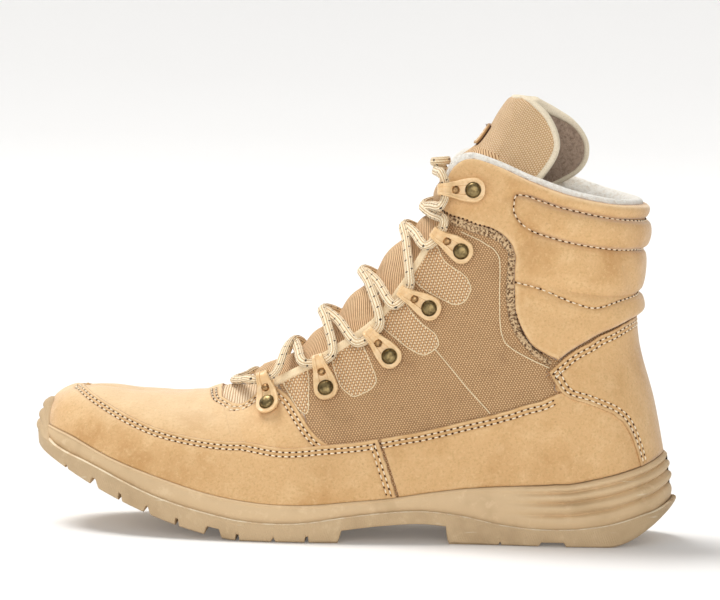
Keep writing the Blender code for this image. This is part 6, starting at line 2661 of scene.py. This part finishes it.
@dataclass
class Lace:
    """One ribbed lace: bar, crossings through the loops and tie, with a rolled piece over it."""

    loops: Loops
    radius: float = 0.0020
    wide: float = 0.0046
    high: float = 0.0027
    ribs: int = 10

    def exit(self, number: int, side: Side, end: int) -> tuple[Array, Array]:
        """Where the lace leaves a loop and the next point: end 1 is up the throat, -1 down.

        Args:
            number: The loop's number, from 0.
            side: The side of the boot.
            end: 1 for the end up the throat, -1 for the one down.

        Returns:
            The two points.
        """
        frame = self.loops.frame(number, side)
        sign = -side.value * end
        x = self.loops.length - self.loops.tunnel / 2 - self.loops.strip
        z = self.loops.strip + self.loops.tunnel / 2
        y = sign * (0.31 * self.loops.width + 3 * self.loops.gap)
        out = frame @ Vector((x, y, z))
        beyond = frame @ Vector((x + 0.0014, y + sign * 0.0028, z + 0.0012))
        return np.array(out), np.array(beyond)

    def across(
        self, start: Array, start_way: Array, middle: Array, end_way: Array, end: Array, rise: float = 0.72
    ) -> list[Array]:
        """A strand's points from one loop over the middle of the tongue to another loop.

        Args:
            start: Where it leaves a loop.
            start_way: The next point.
            middle: The point over the tongue.
            end_way: The last point before the other loop.
            end: Where it enters that loop.
            rise: How soon it rises to the middle.

        Returns:
            The points, in order.
        """
        bend = np.array([0.55, 0.45, rise])
        first = start_way + (middle - start_way) * bend
        second = end_way + (middle - end_way) * bend
        return [start, start_way, first, middle, second, end_way, end]

    def half(self, side: Side) -> list[Array]:
        """Points of the lace from its lowest loop on one side up to the tie.

        Args:
            side: The side of its lowest loop.

        Returns:
            The points, in order.
        """
        points: list[Array] = []
        here = side
        for number, (s, height) in enumerate(CROSSINGS):
            there = Side(-here.value)
            start, start_way = self.exit(number, here, 1)
            end, end_way = self.exit(number + 1, there, -1)
            over = height + here.value * 0.4 * self.radius
            middle = LAST.over_tongue(LAST.tongue_row(s), over)
            rise = 0.72 if number < len(CROSSINGS) - 1 else 0.42
            points += self.across(start, start_way, middle, end_way, end, rise)
            here = there
        return points

    def build(self) -> None:
        """Makes the lace, one closed run of ribbed cord, and the rolled piece."""
        bar = [self.exit(0, side, -1) for side in (Side.LATERAL, Side.MEDIAL)]
        low = self.across(*bar[0], LAST.over_tongue(*BAR), *bar[1][::-1])
        tie = [self.exit(5, side, 1) for side in (Side.LATERAL, Side.MEDIAL)]
        top = self.across(*tie[0], LAST.over_tongue(*TIE), *tie[1][::-1])
        # Five crossings bring each half to the other side, so the run closes through the tie
        path = low + self.half(Side.MEDIAL) + top + self.half(Side.LATERAL)[::-1]
        line = flowing(np.array(path + path[:1]), 1160)[:-1]
        section = oval(self.wide, self.high, 6 * self.ribs, 0.86)
        ribs = 1 - 0.07 * np.abs(np.cos(np.linspace(0, math.pi * self.ribs, len(section), endpoint=False)))
        section = section * ribs[:, None]
        shape = Shape()
        spine = np.array([LAST.over_tongue(row, -0.035) for row in np.linspace(0, 10, 60)])
        near = np.argmin(np.linalg.norm((line[:, None] - spine[None]) * [1, 0, 1], axis=-1), axis=1)
        around = unit(line - spine[near])
        calm = np.ones(31) / 31
        up = [np.convolve(np.pad(around[:, k], 15, mode="wrap"), calm, mode="valid") for k in range(3)]
        shape.tube(line, section, up=unit(np.column_stack(up)), closed=True)
        self.rolled(shape, section)
        cord = Cord(ribs=self.ribs)
        names = ["lace_bar", "lace_tie"] + [f"lace_crossing_{i + 1}" for i in range(len(CROSSINGS))]
        dress(shape.make("lace", [cord.material()], mend=True, angle=80), "lace_cord", *names)

    def rolled(self, shape: Shape, section: Array) -> None:
        """The rolled piece over the tie: two closed rings of the cord.

        Args:
            shape: The mesh to add to.
            section: Outline of the cord.
        """
        turn = np.linspace(0, math.tau, 72, endpoint=False)
        out = np.column_stack([np.cos(turn), np.sin(turn), 0 * turn])
        for radius, centre, lean, size in (
            (0.0037, (0.0366, 0.0, 0.1752), 0.0004, 0.86), (0.0022, (0.0363, 0.0, 0.1722), -0.0004, 0.78)
        ):
            path = np.array(centre) + out * radius + np.array([0, 0, 1.0]) * lean * np.cos(turn)[:, None]
            shape.tube(path, section * size, up=out, closed=True)


# Studio


@dataclass
class Studio:
    """White sweep, soft lights and the camera at the photograph's angle."""

    azimuth: float = 2.0
    elevation: float = 4.0
    roll: float = 1.45
    distance: float = 1.7
    scale: float = 0.0004704
    target: tuple[float, float, float] = (0.0005, 0.0, 0.1088)

    def camera(self) -> None:
        """Sets the camera up."""
        a, e, r = (math.radians(angle) for angle in (self.azimuth, self.elevation, self.roll))
        ahead = Vector((-math.sin(a) * math.cos(e), math.cos(a) * math.cos(e), -math.sin(e)))
        right = ahead.cross(Vector((0, 0, 1))).normalized()
        up = right.cross(ahead)
        right, up = right * math.cos(r) + up * math.sin(r), up * math.cos(r) - right * math.sin(r)
        at = Vector(self.target) + Vector(SHIFT.tolist()) - ahead * self.distance
        data = bpy.data.cameras.new("camera")
        data.angle = 2 * math.atan(720 * self.scale / 2 / self.distance)
        data.clip_start = 0.05
        data.clip_end = 50
        camera = bpy.data.objects.new("camera", data)
        camera.matrix_world = Matrix(
            [[right[i], up[i], -ahead[i], at[i]] for i in range(3)] + [[0, 0, 0, 1]]
        )
        bpy.context.scene.collection.objects.link(camera)
        bpy.context.scene.camera = camera

    def light(self, name: str, place: Colour, spread: float, strength: float, colour: Colour) -> None:
        """Adds a wide, soft distant light from the direction of a place.

        Args:
            name: The light's name.
            place: Place that it shines from.
            spread: Its angle, in degrees.
            strength: Its strength.
            colour: Its colour.
        """
        data = bpy.data.lights.new(name, "SUN")
        data.angle = math.radians(spread)
        data.energy = strength
        data.color = colour
        lamp = bpy.data.objects.new(name, data)
        lamp.rotation_euler = Vector(place).to_track_quat("Z", "Y").to_euler()
        bpy.context.scene.collection.objects.link(lamp)

    def floor(self) -> None:
        """A pale sweep that turns up far behind the boot."""
        shape = Shape()
        x = np.linspace(-14, 14, 15)
        turn = np.linspace(0, math.pi / 2, 12)
        profile = [(-9.0, 0.0), (-3.0, 0.0), (0.0, 0.0), (3.0, 0.0)]
        profile += [(5.0 + 4 * math.sin(t), 4 - 4 * math.cos(t)) for t in turn] + [(9.0, 12.0)]
        grid = np.array([[[a, y, z] for y, z in profile] for a in x])
        shape.grid(grid)
        s = Shader("pale_floor")
        tone = s.noise(0.8, 2.0)
        colour = s.blend((0.79, 0.79, 0.79), (0.81, 0.81, 0.81), tone)
        glow = {"Emission_Color": (1.0, 1.0, 1.0), "Emission_Strength": 0.09}
        material = s.finish(colour, 0.85, Specular_IOR_Level=0.1, **glow)
        obj = shape.make("floor", [material], angle=60)

    def build(self) -> None:
        """Makes the studio."""
        world = bpy.data.worlds.new("studio")
        bpy.context.scene.world = world
        world.use_nodes = True
        background = world.node_tree.nodes["Background"]
        background.inputs["Color"].default_value = (1.0, 0.99, 0.98, 1.0)
        background.inputs["Strength"].default_value = 0.36
        bpy.context.scene.view_settings.view_transform = "Standard"
        self.floor()
        self.light("key", (-0.42, 0.26, 1.0), 26.0, 2.7, (1.0, 0.985, 0.96))
        self.light("fill", (-0.06, -1.0, 0.20), 50.0, 1.55, (1.0, 0.985, 0.96))


def main() -> None:
    """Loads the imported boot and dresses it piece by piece."""
    logging.basicConfig(level=logging.INFO, format="%(name)s %(message)s")
    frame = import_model()
    LOG.info("%d solids to dress", len(frame["nodes"]))
    Studio().camera()
    nubuck = Nubuck().material()
    binding = Plain("throat_binding", srgb(246, 226, 190), srgb(222, 194, 152), 0.0005).material()
    sewing = Stitching()
    Sole().build()
    Quarters().build()
    Leathers().build(nubuck, sewing)
    Cuff().build(nubuck, sewing)
    for side in Side:
        ThroatTape(side).build(binding)
    Trim().build(sewing)
    Tongue().build(nubuck, sewing)
    sewing.build()
    loops = Loops()
    loops.build()
    Lace(loops).build()
    Studio().build()


if __name__ == "__main__":
    main()
